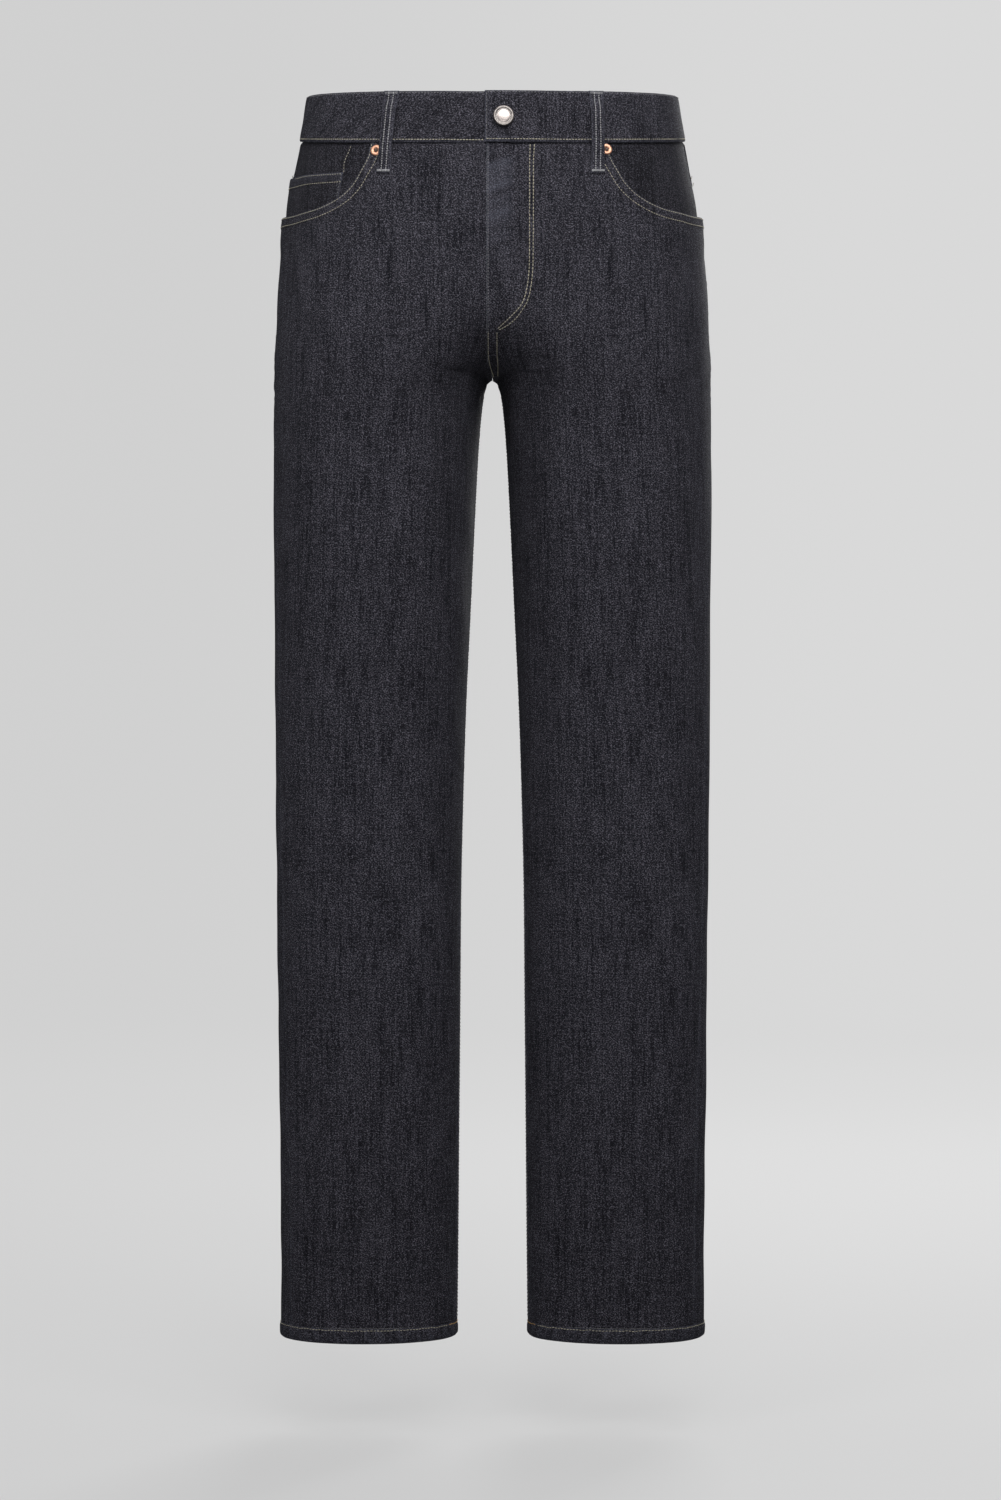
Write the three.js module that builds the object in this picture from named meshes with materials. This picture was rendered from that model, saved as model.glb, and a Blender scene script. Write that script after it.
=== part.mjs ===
// Slim fit jeans, filled out and standing as worn: front and back leg panels, yokes, waistband,
// front pocket facings, coin pocket, back patch pockets, belt loops, button, rivets and hems.
// Millimetres, +Z up, the front faces -Y, the wearer's left is +X. The origin is the waist centre.
import * as THREE from "three";

// ---- driving sizes ----
const DENIM = 1.2; // one ply of denim
const FACING_WALL = 1.0;
const BAND_WALL = 3.0; // two plies and the turned seam allowances
const HEM_WALL = 2.6; // three plies, pressed flat
const GAP = 0.3; // between neighbouring pieces
const BAND_DEPTH = 38; // waistband, top edge to waist seam at the side
const HEM_DEPTH = 13;
const LEG_END = 1013; // waist seam to hem edge, down the side
const BAND_STAND = 1.0; // the band's face stands this far out of the leg panels
const BAND_LAP = 1.7; // each band end steps out or in by this where they overlap
const BUTTON_RADIUS = 8.7;
const RIVET_RADIUS = 4.7;
const LOOP_WIDTH = 12.4; // at the tacked ends
const LOOP_WAIST = 2; // a loop is narrower by this at its middle
const LOOP_WALL = 1.8;
const LOOP_RISE = 3.0; // slack of a belt loop over the band
const YOKE_SIDE = 36; // yoke depth at the side and at centre back
const YOKE_BACK = 66;
const FLY_EDGE = 4.5; // the left front runs past centre by this
const FLY_RIDGE = 18; // width of the thick strip along the fly edge
const FLY_END = 152; // the fly's hidden layers end here
const FLY_RETURN = 190; // the seam's edge returns to centre from here to the crotch
const SIDE_HOLLOW = 2.5; // the sides draw in above the pocket mouths
const MOUTH_BULGE = 3.8; // and the fronts' folded corners stand out below them
const COIN_BULGE = 2.5; // the coin pocket's top edge stands off the facing

const DENIM_COLOUR = 0x26262e;
const BUTTON_COLOUR = 0xb9b4ae;
const RIVET_COLOUR = 0xa8876f;

// ---- the body of the garment: one half, as rows down from the waist seam ----
// down: depth below the waist seam at the side. side*: the widest point. front* and back*: the
// foremost and rearmost points, with how far they lie above the widest point. strip*: where the
// curve meets the flat of the centre seam, or the inseam lower down. seam*: the centre seam or
// inseam itself. power and bend shape the valley towards the centre: bend 0.5 turns in like a
// tube, above 1 it runs flat across the centre. lead: how far the outseam lies in front of the
// widest point, along the cloth.
const ROWS = table(
  ["down", "sideX", "sideY", "frontX", "frontY", "frontRise", "backX", "backY", "backRise",
    "stripX", "seamX", "frontSeamY", "frontSeamZ", "backSeamY", "backSeamZ", "power", "bend",
    "lead"],
  [
    [-38, 156.5, 0, 40, -108, -16, 40, 102, 19, 4.7, 0.05, -109, 12, 103, 47, 3, 1.6, 0],
    [0, 163, 1, 48, -111, -21.2, 50, 110, 17, 4.7, 0.05, -112, -31.2, 110, 7, 3, 1.6, 0],
    [30, 169.6, 2, 55, -114, -18, 60, 122, 14, 4.7, 0.05, -114, -58, 120, -27, 3, 1.6, 1],
    [60, 176.4, 3, 60, -116, -14, 68, 132, 10, 4.7, 0.05, -115, -84.5, 128, -61, 3, 1.6, 2],
    [100, 180, 4, 68, -117, -10, 76, 139, 6, 4.7, 0.05, -113.5, -122, 131, -105, 3.4, 1.5, 4],
    [135, 182.5, 4, 75, -117, -6, 82, 140, 3, 4.7, 0.05, -108, -152, 126, -142, 4, 1.4, 8],
    [165, 184, 4, 80, -116, -3, 86, 137, 1, 4.7, 0.05, -97, -178, 112, -172, 3.3, 1.2, 13],
    [190, 185, 3, 85, -114, -2, 88, 131, 0, 4.7, 0.05, -72, -198.5, 85, -195, 2.55, 0.95, 17],
    [206, 185.2, 3, 88, -112, -1.5, 90, 125, 0, 4.7, 0.05, -36, -209.5, 46, -208, 2.32, 0.7, 19],
    [211, 185.3, 3, 89, -111, -1.2, 91, 123, 0, 4.7, 0.05, -16, -211.2, 28, -210.6, 2.36, 0.6, 20],
    [216, 185.3, 3, 90, -110, -1, 92, 121, 0, 4.7, 0.05, 6.6, -212, 9.4, -212, 2.36, 0.5, 21],
    [221, 185.4, 3, 91, -109, -1, 93, 119, 0, 4.9, 4.9, 7.4, -216, 8.6, -216, 2.28, 0.5, 22],
    [228, 185.5, 3, 92, -108, -1, 94, 117, 0, 7.2, 7.2, 8, -223, 8, -223, 2.23, 0.5, 23],
    [245, 185.6, 2, 93.5, -105.5, 0, 95, 112, 0, 9.8, 9.8, 8, -241, 8, -241, 2.27, 0.5, 27],
    [275, 185.6, 2, 95, -101.5, 0, 96, 105, 0, 12.4, 12.4, 8, -273, 8, -273, 2.3, 0.5, 33],
    [330, 185.6, 2, 97, -96, 0, 98, 96, 0, 15.5, 15.5, 6, -332, 6, -332, 2.25, 0.5, 36],
    [400, 185, 1, 99.5, -86, 0, 101, 84, 0, 19, 19, 4, -408, 4, -408, 2.1, 0.5, 36],
    [480, 184.5, 0, 102, -75, 0, 103, 74, 0, 22.8, 22.8, 2, -490, 2, -490, 2, 0.5, 32],
    [560, 184, 0, 103.5, -67, 0, 104, 69, 0, 25.3, 25.3, 1, -570, 1, -570, 2, 0.5, 29],
    [640, 183.2, 1, 104.5, -61, 0, 105, 69, 0, 27, 27, 2, -650, 2, -650, 2, 0.5, 29],
    [740, 181.8, 2, 105, -57, 0, 105, 69, 0, 27.8, 27.8, 3, -750, 3, -750, 2, 0.5, 29],
    [840, 180.6, 1, 105, -53.5, 0, 105, 62, 0, 28.7, 28.7, 2, -850, 2, -850, 2, 0.5, 31],
    [930, 179.8, 0, 105, -52, 0, 104.7, 55, 0, 29.4, 29.4, 0, -940, 0, -940, 2, 0.5, 31],
    [1013, 179.4, 0, 104.5, -52, 0, 104.5, 53, 0, 30.3, 30.3, 0, -1023, 0, -1023, 2, 0.5, 31],
  ],
);
const WAIST_SEAM_Z = -10; // at the side
const SIDE_SQUARE = 2.25; // superellipse power of the rounded sides
const CROTCH = 216; // row of the crotch point

// Front pocket mouth: how far below the waist seam its edge lies, by distance from centre front.
const MOUTH = table(["x", "drop"], [
  [97, 0], [98.5, 9], [102, 18.3], [105.5, 25.3], [110, 34.3], [115, 41.5], [121, 48],
  [128, 53.3], [136, 57.6], [145, 60.8], [156, 63.2], [166, 65], [186, 66],
]);
const MOUTH_END = 66;

// ---- tables and smooth values ----
function table(columns, rows) {
  return rows.map((row) => Object.fromEntries(columns.map((name, i) => [name, row[i]])));
}

// Smooth value of one column between the rows, without overshoot.
function blend(rows, key, name, at) {
  const last = rows.length - 1;
  let i = rows.findIndex((row) => row[key] > at) - 1;
  if (i < -1 || at >= rows[last][key]) i = last - 1;
  if (i < 0) i = 0;
  const slope = (k) => (rows[k + 1][name] - rows[k][name]) / (rows[k + 1][key] - rows[k][key]);
  const tangent = (k) => {
    if (k === 0) return slope(0);
    if (k === last) return slope(last - 1);
    const [before, after] = [slope(k - 1), slope(k)];
    return before * after <= 0 ? 0 : (2 * before * after) / (before + after);
  };
  const span = rows[i + 1][key] - rows[i][key];
  const t = Math.min(1, Math.max(0, (at - rows[i][key]) / span));
  const [t2, t3] = [t * t, t * t * t];
  return (
    (2 * t3 - 3 * t2 + 1) * rows[i][name] + (t3 - 2 * t2 + t) * span * tangent(i) +
    (3 * t2 - 2 * t3) * rows[i + 1][name] + (t3 - t2) * span * tangent(i + 1)
  );
}

const smooth = (t) => {
  const c = Math.min(1, Math.max(0, t));
  return c * c * (3 - 2 * c);
};
const mix = (a, b, t) => a + (b - a) * t;
const arch = (t, power, bend) => Math.pow(Math.max(0, 1 - Math.pow(1 - t, power)), bend);

// ---- the surface ----
const ARC_STEPS = 44;
const rowCache = new Map();

// One row of the half garment: points from the centre front round the side to centre back.
function rowAt(down) {
  const key = Math.round(down * 1000);
  if (rowCache.has(key)) return rowCache.get(key);
  const r = Object.fromEntries(
    Object.keys(ROWS[0]).map((name) => [name, blend(ROWS, "down", name, down)]),
  );
  const sideZ = WAIST_SEAM_Z - down;
  const points = [];
  // One quarter of the row, from an end at the side or the seam to the foremost or rearmost point.
  const addArc = (end, peak, power, bend, toEnd, isSide) => {
    for (let k = 0; k <= ARC_STEPS; k++) {
      const t = Math.pow((toEnd ? ARC_STEPS - k : k) / ARC_STEPS, 2.4);
      const turned = arch(t, power, bend);
      const z = mix(end.z, peak.z, isSide ? turned : smooth(t));
      points.push(new THREE.Vector3(mix(end.x, peak.x, t), mix(end.y, peak.y, turned), z));
    }
  };
  const side = new THREE.Vector3(r.sideX, r.sideY, sideZ);
  const front = new THREE.Vector3(r.frontX, r.frontY, sideZ + r.frontRise);
  const back = new THREE.Vector3(r.backX, r.backY, sideZ + r.backRise);
  const frontStrip = new THREE.Vector3(r.stripX, r.frontSeamY, r.frontSeamZ);
  const backStrip = new THREE.Vector3(r.stripX, r.backSeamY, r.backSeamZ);
  points.push(new THREE.Vector3(r.seamX, r.frontSeamY, r.frontSeamZ));
  addArc(frontStrip, front, r.power, r.bend, false, false);
  addArc(side, front, SIDE_SQUARE, 1 / SIDE_SQUARE, true, true);
  const sideIndex = points.length - 1;
  addArc(side, back, SIDE_SQUARE, 1 / SIDE_SQUARE, false, true);
  addArc(backStrip, back, r.power, r.bend, true, false);
  points.push(new THREE.Vector3(r.seamX, r.backSeamY, r.backSeamZ));
  const along = [0];
  for (let k = 1; k < points.length; k++) {
    const [from, to] = [points[k - 1], points[k]];
    along.push(along[k - 1] + Math.hypot(to.x - from.x, to.y - from.y));
  }
  const total = along[along.length - 1];
  const rearmost = along[sideIndex + ARC_STEPS + 1];
  const outseam = along[sideIndex] - r.lead;
  const row = { points, along, total, outseam, rearmost };
  rowCache.set(key, row);
  return row;
}

// A point of the half garment, by depth below the waist seam and distance round from centre
// front. Distances below 0 or past centre back cross over to the other half.
function place(down, round) {
  const row = rowAt(down);
  let at = round;
  let crossed = false;
  if (at < 0) {
    at = -at;
    crossed = true;
  } else if (at > row.total) {
    at = 2 * row.total - at;
    crossed = true;
  }
  let low = 0;
  let high = row.along.length - 1;
  while (high - low > 1) {
    const middle = (low + high) >> 1;
    if (row.along[middle] <= at) low = middle;
    else high = middle;
  }
  const span = row.along[high] - row.along[low];
  const point = row.points[low].clone();
  point.lerp(row.points[high], span > 0 ? (at - row.along[low]) / span : 0);
  if (crossed) point.x = -point.x;
  return point;
}

// The point and its outward normal.
function surface(down, round) {
  const reach = 2;
  const up = Math.max(ROWS[0].down, down - reach);
  const below = Math.min(LEG_END, down + reach);
  const isLeg = down > CROTCH;
  const total = rowAt(down).total;
  const before = isLeg ? Math.max(0, round - reach) : round - reach;
  const after = isLeg ? Math.min(total, round + reach) : round + reach;
  const downwards = place(below, round).sub(place(up, round));
  const sideways = place(down, after).sub(place(down, before));
  const normal = new THREE.Vector3().crossVectors(downwards, sideways).normalize();
  return { point: place(down, round), normal };
}

// ---- solids ----
const garment = new THREE.Group();
garment.name = "slim_fit_jeans";

function addMesh(name, geometry, colour, roughness, metalness) {
  const material = new THREE.MeshStandardMaterial({ color: colour, roughness, metalness });
  const mesh = new THREE.Mesh(geometry, material);
  mesh.name = name;
  garment.add(mesh);
}

const addCloth = (name, geometry, colour = DENIM_COLOUR) => addMesh(name, geometry, colour, 0.9, 0);
const addMetal = (name, geometry, colour) => addMesh(name, geometry, colour, 0.35, 1);

// A closed sheet of cloth. spot(i, j) gives {point, normal, lift} for a grid of lines; lift is
// how far the outer face stands off the garment's surface. A ring joins its last line to its first.
function sheet({ lines, across, spot, wall, mirrored = false, ring = false }) {
  const outer = [];
  const inner = [];
  for (let i = 0; i <= lines; i++) {
    for (let j = 0; j < (ring ? across : across + 1); j++) {
      const { point, normal, lift } = spot(i, j);
      outer.push(point.clone().addScaledVector(normal, lift));
      inner.push(point.clone().addScaledVector(normal, lift - wall));
    }
  }
  const width = ring ? across : across + 1;
  const count = outer.length;
  const at = (i, j) => i * width + (j % width);
  const faces = [];
  const quad = (a, b, c, d) => faces.push(a, b, c, a, c, d);
  for (let i = 0; i < lines; i++) {
    for (let j = 0; j < across; j++) {
      quad(at(i, j), at(i + 1, j), at(i + 1, j + 1), at(i, j + 1));
      quad(count + at(i, j), count + at(i, j + 1), count + at(i + 1, j + 1), count + at(i + 1, j));
    }
  }
  for (let j = 0; j < across; j++) {
    quad(at(0, j), at(0, j + 1), count + at(0, j + 1), count + at(0, j));
    quad(at(lines, j), count + at(lines, j), count + at(lines, j + 1), at(lines, j + 1));
  }
  if (!ring) {
    for (let i = 0; i < lines; i++) {
      quad(at(i, 0), count + at(i, 0), count + at(i + 1, 0), at(i + 1, 0));
      quad(at(i, across), at(i + 1, across), count + at(i + 1, across), count + at(i, across));
    }
  }
  const all = [...outer, ...inner];
  if (mirrored) {
    all.forEach((p) => (p.x = -p.x));
  }
  const volume = signedVolume(all, faces);
  if (volume < 0) {
    for (let k = 0; k < faces.length; k += 3) {
      [faces[k + 1], faces[k + 2]] = [faces[k + 2], faces[k + 1]];
    }
  }
  const geometry = new THREE.BufferGeometry();
  geometry.setAttribute("position", new THREE.Float32BufferAttribute(all.flatMap((p) => p.toArray()), 3));
  geometry.setIndex(faces);
  return geometry;
}

function signedVolume(points, faces) {
  let volume = 0;
  for (let k = 0; k < faces.length; k += 3) {
    const [a, b, c] = [points[faces[k]], points[faces[k + 1]], points[faces[k + 2]]];
    volume += a.dot(new THREE.Vector3().crossVectors(b, c)) / 6;
  }
  return volume;
}

// ---- panel edges ----
const HALF_GAP = GAP / 2;
const PANEL_END = LEG_END - HEM_DEPTH;

// Distance from centre front of the fly edge, which both fronts follow.
const flyEdge = (down) => -FLY_EDGE * (1 - smooth((down - FLY_RETURN) / (CROTCH - FLY_RETURN)));

// How far the pocket mouth lies below the waist seam along the line at this fraction of the
// front's width.
function mouthDrop(x) {
  return x <= MOUTH[0].x ? 0 : blend(MOUTH, "x", "drop", Math.min(x, MOUTH[MOUTH.length - 1].x));
}
function mouthAt(fraction) {
  let down = 0;
  for (let pass = 0; pass < 8; pass++) {
    const x = place(down, fraction * rowAt(down).outseam).x;
    down = mix(down, mouthDrop(x), 0.7);
  }
  return down;
}

// Depths of the lines across a leg panel below its shaped top, closer together near the crotch.
// Front and back share them, so the seams meet line for line.
const TOP_LINES = 5;
const PANEL_LINES = [
  130, 152, 171, 186, 199, 209, CROTCH, 221, 229, 243, 264, 294, 334, 384, 440, 500, 560, 620, 680,
  740, 800, 865, 930, PANEL_END - HALF_GAP,
];
const LAST_LINE = TOP_LINES + PANEL_LINES.length - 1;
const lineDepth = (i, top) =>
  i < TOP_LINES ? mix(top, PANEL_LINES[0], i / TOP_LINES) : PANEL_LINES[i - TOP_LINES];

// How far a panel's edges stay back from its seams: a little more at the crotch point, where four
// panels meet.
const seamInset = (down) => HALF_GAP + 1.2 * smooth(1 - Math.abs(down - CROTCH) / 12);
const MOUTH_FRACTION = mouthStart();

// Fraction of the front's width where the pocket mouth meets the waist seam.
function mouthStart() {
  const row = rowAt(0);
  const past = row.points.findIndex((p) => p.x >= MOUTH[0].x);
  return row.along[past] / row.outseam;
}

const FRONT_COLUMNS = [
  ...[0, 0.05, 0.1, 0.2, 0.4, 0.6, 0.8, 1].map((t) => t * MOUTH_FRACTION),
  ...[0.02, 0.05, 0.1, 0.167, 0.28, 0.42, 0.6, 0.8, 0.96, 1].map((t) => mix(MOUTH_FRACTION, 1, t)),
];
const FACING_COLUMNS = FRONT_COLUMNS.slice(6);
const COIN_COLUMNS = FRONT_COLUMNS.slice(11);
const BACK_COLUMNS = [0, 0.08, 0.17, 0.26, 0.36, 0.46, 0.56, 0.66, 0.76, 0.85, 0.92, 0.96, 1];

// Distance round the garment at a fraction of the front's width, from the fly to the outseam.
function frontRound(down, fraction, isLeft) {
  const start = (isLeft ? flyEdge(down) : -flyEdge(down)) + seamInset(down);
  return mix(start, rowAt(down).outseam - HALF_GAP, fraction);
}

// The cloth beside the outseam: a hollow in every layer above the end of the pocket mouth, and what
// a layer stands out by, sewn down again at the outseam itself.
const SIDE_REACH = 48;
const nearSide = (down, round) => smooth(1 - Math.abs(round - rowAt(down).outseam) / SIDE_REACH);
function hollow(down, round) {
  const depth = smooth((down - 4) / (MOUTH_END - 4)) * smooth(1 - (down - MOUTH_END) / 26);
  return -SIDE_HOLLOW * depth * nearSide(down, round);
}
function bulge(height, down, round) {
  const fromSide = rowAt(down).outseam - round;
  return height * smooth(fromSide / 5) * nearSide(down, round);
}

function addFront(name, isLeft) {
  const spot = (i, j) => {
    const fraction = FRONT_COLUMNS[j];
    const top = mouthAt(fraction) + (fraction > MOUTH_FRACTION ? GAP : 0) + HALF_GAP;
    const down = lineDepth(i, top);
    const round = frontRound(down, fraction, isLeft);
    const onFly = isLeft ? smooth((FLY_RIDGE - round) / 5) * smooth((FLY_END + 30 - down) / 30) : 0;
    const corner = bulge(MOUTH_BULGE * smooth(1 - (down - MOUTH_END) / 36), down, round);
    return { ...surface(down, round), lift: 0.9 * onFly + hollow(down, round) + corner };
  };
  const geometry = sheet({
    lines: LAST_LINE,
    across: FRONT_COLUMNS.length - 1,
    spot,
    wall: DENIM,
    mirrored: !isLeft,
  });
  addCloth(name, geometry);
}

// The yoke seam's depth by fraction from the side to centre back.
const yokeSeam = (fraction) => mix(YOKE_SIDE, YOKE_BACK, fraction);

function backRound(down, fraction) {
  const row = rowAt(down);
  return mix(row.outseam + HALF_GAP, row.total - seamInset(down), fraction);
}

function addBack(name, isLeft) {
  const spot = (i, j) => {
    const fraction = BACK_COLUMNS[j];
    const down = lineDepth(i, yokeSeam(fraction) + HALF_GAP);
    const round = backRound(down, fraction);
    return { ...surface(down, round), lift: hollow(down, round) };
  };
  const geometry = sheet({
    lines: LAST_LINE,
    across: BACK_COLUMNS.length - 1,
    spot,
    wall: DENIM,
    mirrored: !isLeft,
  });
  addCloth(name, geometry);
}

function addYoke(name, isLeft) {
  const spot = (i, j) => {
    const fraction = BACK_COLUMNS[j];
    const down = mix(HALF_GAP, yokeSeam(fraction) - HALF_GAP, i / 4);
    const round = backRound(down, fraction);
    return { ...surface(down, round), lift: hollow(down, round) };
  };
  const across = BACK_COLUMNS.length - 1;
  addCloth(name, sheet({ lines: 4, across, spot, wall: DENIM, mirrored: !isLeft }));
}

// Waistband: from the left end over centre front, round the back, to the right end below it.
function addWaistband() {
  const across = 56;
  const leftEnd = -6;
  const rightEnd = 26;
  const spot = (i, j) => {
    const down = mix(-BAND_DEPTH, -GAP, i / 3);
    const total = 2 * rowAt(down).total;
    const round = mix(leftEnd, total + rightEnd, j / across);
    const out = smooth((64 - round) / 40);
    const under = smooth((round - total + 44) / 36);
    const half = total / 2;
    const at = round > half ? total - round : round;
    const found = surface(down, at);
    if (round > half) {
      found.point.x = -found.point.x;
      found.normal.x = -found.normal.x;
    }
    return { ...found, lift: BAND_STAND + BAND_LAP * (out - under) };
  };
  addCloth("waistband", sheet({ lines: 3, across, spot, wall: BAND_WALL }));
}

function addHem(name, isLeft) {
  const across = 32;
  const spot = (i, j) => {
    const down = mix(PANEL_END + HALF_GAP, LEG_END, i / 2);
    return { ...surface(down, (rowAt(down).total * j) / across), lift: i === 1 ? 0.8 : 0.5 };
  };
  addCloth(name, sheet({ lines: 2, across, spot, wall: HEM_WALL, mirrored: !isLeft, ring: true }));
}

// What shows inside a pocket mouth: it lies behind the front and runs a little way under it.
const FACING_UNDER = 12;
const FACING_LIFT = -DENIM - 0.5;
function addFacing(name, isLeft) {
  const spot = (i, j) => {
    const fraction = FACING_COLUMNS[j];
    const down = mix(HALF_GAP, mouthAt(fraction) + FACING_UNDER, i / 5);
    const round = frontRound(down, fraction, isLeft);
    return { ...surface(down, round), lift: FACING_LIFT + hollow(down, round) };
  };
  const across = FACING_COLUMNS.length - 1;
  addCloth(name, sheet({ lines: 5, across, spot, wall: FACING_WALL, mirrored: !isLeft }));
}

// Coin pocket, on the right facing: its top edge falls a little towards the side.
function addCoinPocket() {
  const [innerTop, sideTop] = [27, 32.5];
  const spot = (i, j) => {
    const fraction = COIN_COLUMNS[j];
    const top = mix(innerTop, sideTop, (fraction - COIN_COLUMNS[0]) / (1 - COIN_COLUMNS[0]));
    const down = mix(top, mouthAt(fraction) - GAP, i / 2);
    const round = frontRound(down, fraction, false);
    const mouth = bulge(COIN_BULGE * Math.max(0, 1 - (down - top) / 32), down, round);
    return { ...surface(down, round), lift: hollow(down, round) + mouth - GAP };
  };
  const across = COIN_COLUMNS.length - 1;
  addCloth("coin_pocket", sheet({ lines: 2, across, spot, wall: 1.0, mirrored: true }));
}

// Back patch pockets: straight top, sides that draw in, shallow point at the bottom.
function addBackPocket(name, isLeft) {
  const [top, depth, point] = [80, 112, 16];
  const [topHalf, bottomHalf] = [72, 63];
  const fromRearmost = 16;
  const spot = (i, j) => {
    const across = j / 5 - 1;
    const along = i / 8;
    const slope = -across * 8;
    const down = top + slope + along * (depth + (1 - Math.abs(across)) * point);
    const half = mix(topHalf, bottomHalf, smooth(along * 1.1));
    const round = rowAt(down).rearmost - fromRearmost - across * half;
    return { ...surface(down, round), lift: GAP + 0.3 + DENIM };
  };
  addCloth(name, sheet({ lines: 8, across: 10, spot, wall: DENIM, mirrored: !isLeft }));
}

// A belt loop: tacked flat at both ends, slack over the band. topRound and endRound are its
// distances from centre front at the top and at the bottom.
function addBeltLoop(name, topRound, endRound, mirrored = false) {
  const steps = 14;
  const [top, end] = [-BAND_DEPTH + 0.6, 28.5];
  const spot = (i, j) => {
    const t = i / steps;
    const down = mix(top, end, t);
    const width = LOOP_WIDTH - LOOP_WAIST * Math.sin(Math.PI * t);
    const round = mix(topRound(down), endRound(down), t) + (j - 0.5) * width;
    const base = mix(BAND_STAND + GAP, GAP, smooth((down + 2) / 12));
    const rise = LOOP_RISE * smooth((down - top - 5) / 9) * smooth((end - 5 - down) / 18);
    return { ...surface(down, round), lift: base + rise + LOOP_WALL };
  };
  addCloth(name, sheet({ lines: steps, across: 1, spot, wall: LOOP_WALL, mirrored }));
}

// ---- turned metal ----
// profile: [radius, height] pairs from the axis at the bottom to the axis at the top.
function turned(profile, down, round, lift, mirrored) {
  const geometry = new THREE.LatheGeometry(profile.map(([r, h]) => new THREE.Vector2(r, h)), 24);
  const { point, normal } = surface(down, round);
  if (mirrored) {
    point.x = -point.x;
    normal.x = -normal.x;
  }
  const turn = new THREE.Quaternion().setFromUnitVectors(new THREE.Vector3(0, 1, 0), normal);
  geometry.applyQuaternion(turn);
  point.addScaledVector(normal, lift);
  geometry.translate(point.x, point.y, point.z);
  return geometry;
}

function addButton() {
  const r = BUTTON_RADIUS;
  const profile = [
    [0, 0], [3.4, 0], [3.4, 0.9], [r - 1.4, 0.9], [r - 0.2, 1.6], [r, 2.4], [r - 0.7, 3.2],
    [r - 1.6, 3.3], [r - 2.3, 2.7], [r - 3.6, 2.6], [r - 4.4, 3.1], [2.2, 3.5], [0, 3.6],
  ];
  addMetal("button", turned(profile, -19, 9, BAND_STAND + BAND_LAP + GAP, false), BUTTON_COLOUR);
}

function addRivet(name, down, round, mirrored) {
  const r = RIVET_RADIUS;
  const profile = [[0, 0], [r - 0.3, 0], [r, 0.4], [r - 0.7, 1.1], [2.4, 0.9], [1.6, 1.4], [0, 1.5]];
  addMetal(name, turned(profile, down, round, GAP, mirrored), RIVET_COLOUR);
}

// ---- the whole garment ----
const sideBack = (down) => rowAt(down).outseam + 78;
const centreBack = (down) => rowAt(down).total;

addFront("front_left", true);
addFront("front_right", false);
addBack("back_left", true);
addBack("back_right", false);
addYoke("yoke_left", true);
addYoke("yoke_right", false);
addWaistband();
addFacing("pocket_facing_left", true);
addFacing("pocket_facing_right", false);
addCoinPocket();
addBackPocket("back_pocket_left", true);
addBackPocket("back_pocket_right", false);
addBeltLoop("belt_loop_front_left", () => 85, () => 86.3);
addBeltLoop("belt_loop_front_right", () => 82, () => 89, true);
addBeltLoop("belt_loop_side_left", sideBack, sideBack);
addBeltLoop("belt_loop_side_right", sideBack, sideBack, true);
addBeltLoop("belt_loop_back", centreBack, centreBack);
addButton();
addRivet("rivet_left", 6, 94, false);
addRivet("rivet_right", 7, 95.5, true);
addHem("hem_left", true);
addHem("hem_right", false);

export default garment;
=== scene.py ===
"""Slim fit jeans: fine cloth panels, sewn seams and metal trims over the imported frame.

Lengths are in millimetres. A place on the cloth is two distances along it: down, the depth below
the waist seam at the side, and round, the distance round the cloth from centre front (from the
inseam on the legs). A side is 1 on the wearer's left and -1 on the right.
"""

import math

import bpy
import numpy as np
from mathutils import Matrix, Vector


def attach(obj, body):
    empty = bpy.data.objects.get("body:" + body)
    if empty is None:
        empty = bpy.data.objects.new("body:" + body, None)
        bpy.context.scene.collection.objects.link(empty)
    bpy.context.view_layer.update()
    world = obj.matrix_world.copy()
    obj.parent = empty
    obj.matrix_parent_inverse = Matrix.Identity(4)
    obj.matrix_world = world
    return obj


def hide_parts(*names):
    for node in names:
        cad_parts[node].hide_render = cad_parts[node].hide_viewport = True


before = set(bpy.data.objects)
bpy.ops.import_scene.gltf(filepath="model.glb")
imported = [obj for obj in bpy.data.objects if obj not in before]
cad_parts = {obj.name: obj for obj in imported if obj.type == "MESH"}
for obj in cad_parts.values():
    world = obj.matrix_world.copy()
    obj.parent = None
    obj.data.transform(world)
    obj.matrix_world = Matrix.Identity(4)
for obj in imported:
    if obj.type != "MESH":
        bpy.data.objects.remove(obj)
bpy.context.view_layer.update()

MM = 0.001
SIDES = ((1, "left"), (-1, "right"))

# ---- sizes ----
DENIM = 1.1
BAND_WALL = 2.9
HEM_WALL = 2.5
HALF_GAP = 0.15  # half the gap between two pieces at a seam
BAND_DEPTH = 38.0
HEM_DEPTH = 13.0
LEG_END = 1013.0
PANEL_END = LEG_END - HEM_DEPTH
BAND_STAND = 1.0  # how far the waistband stands off the body
BAND_LAP = 1.7  # how much further its left end stands off over the right one
YOKE_SIDE = 36.0  # depth of the yoke's seam at the outseam
YOKE_BACK = 66.0  # and at centre back
FLY_EDGE = 4.5  # how far the left front reaches over centre front
FLY_RIDGE = 16.0  # width of the thick strip along its edge
FLY_STAND = 0.9  # how far it stands off over the fly's hidden layers
FLY_END = 152.0  # depth of its foot
FLY_RETURN = 190.0  # where its edge starts back to centre front
CROTCH = 216.0
WAIST_SEAM_Z = -10.0
SIDE_SQUARE = 2.25  # how square the sides are, with 2 for an ellipse
FAR = 99.0  # a distance too long to matter

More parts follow.
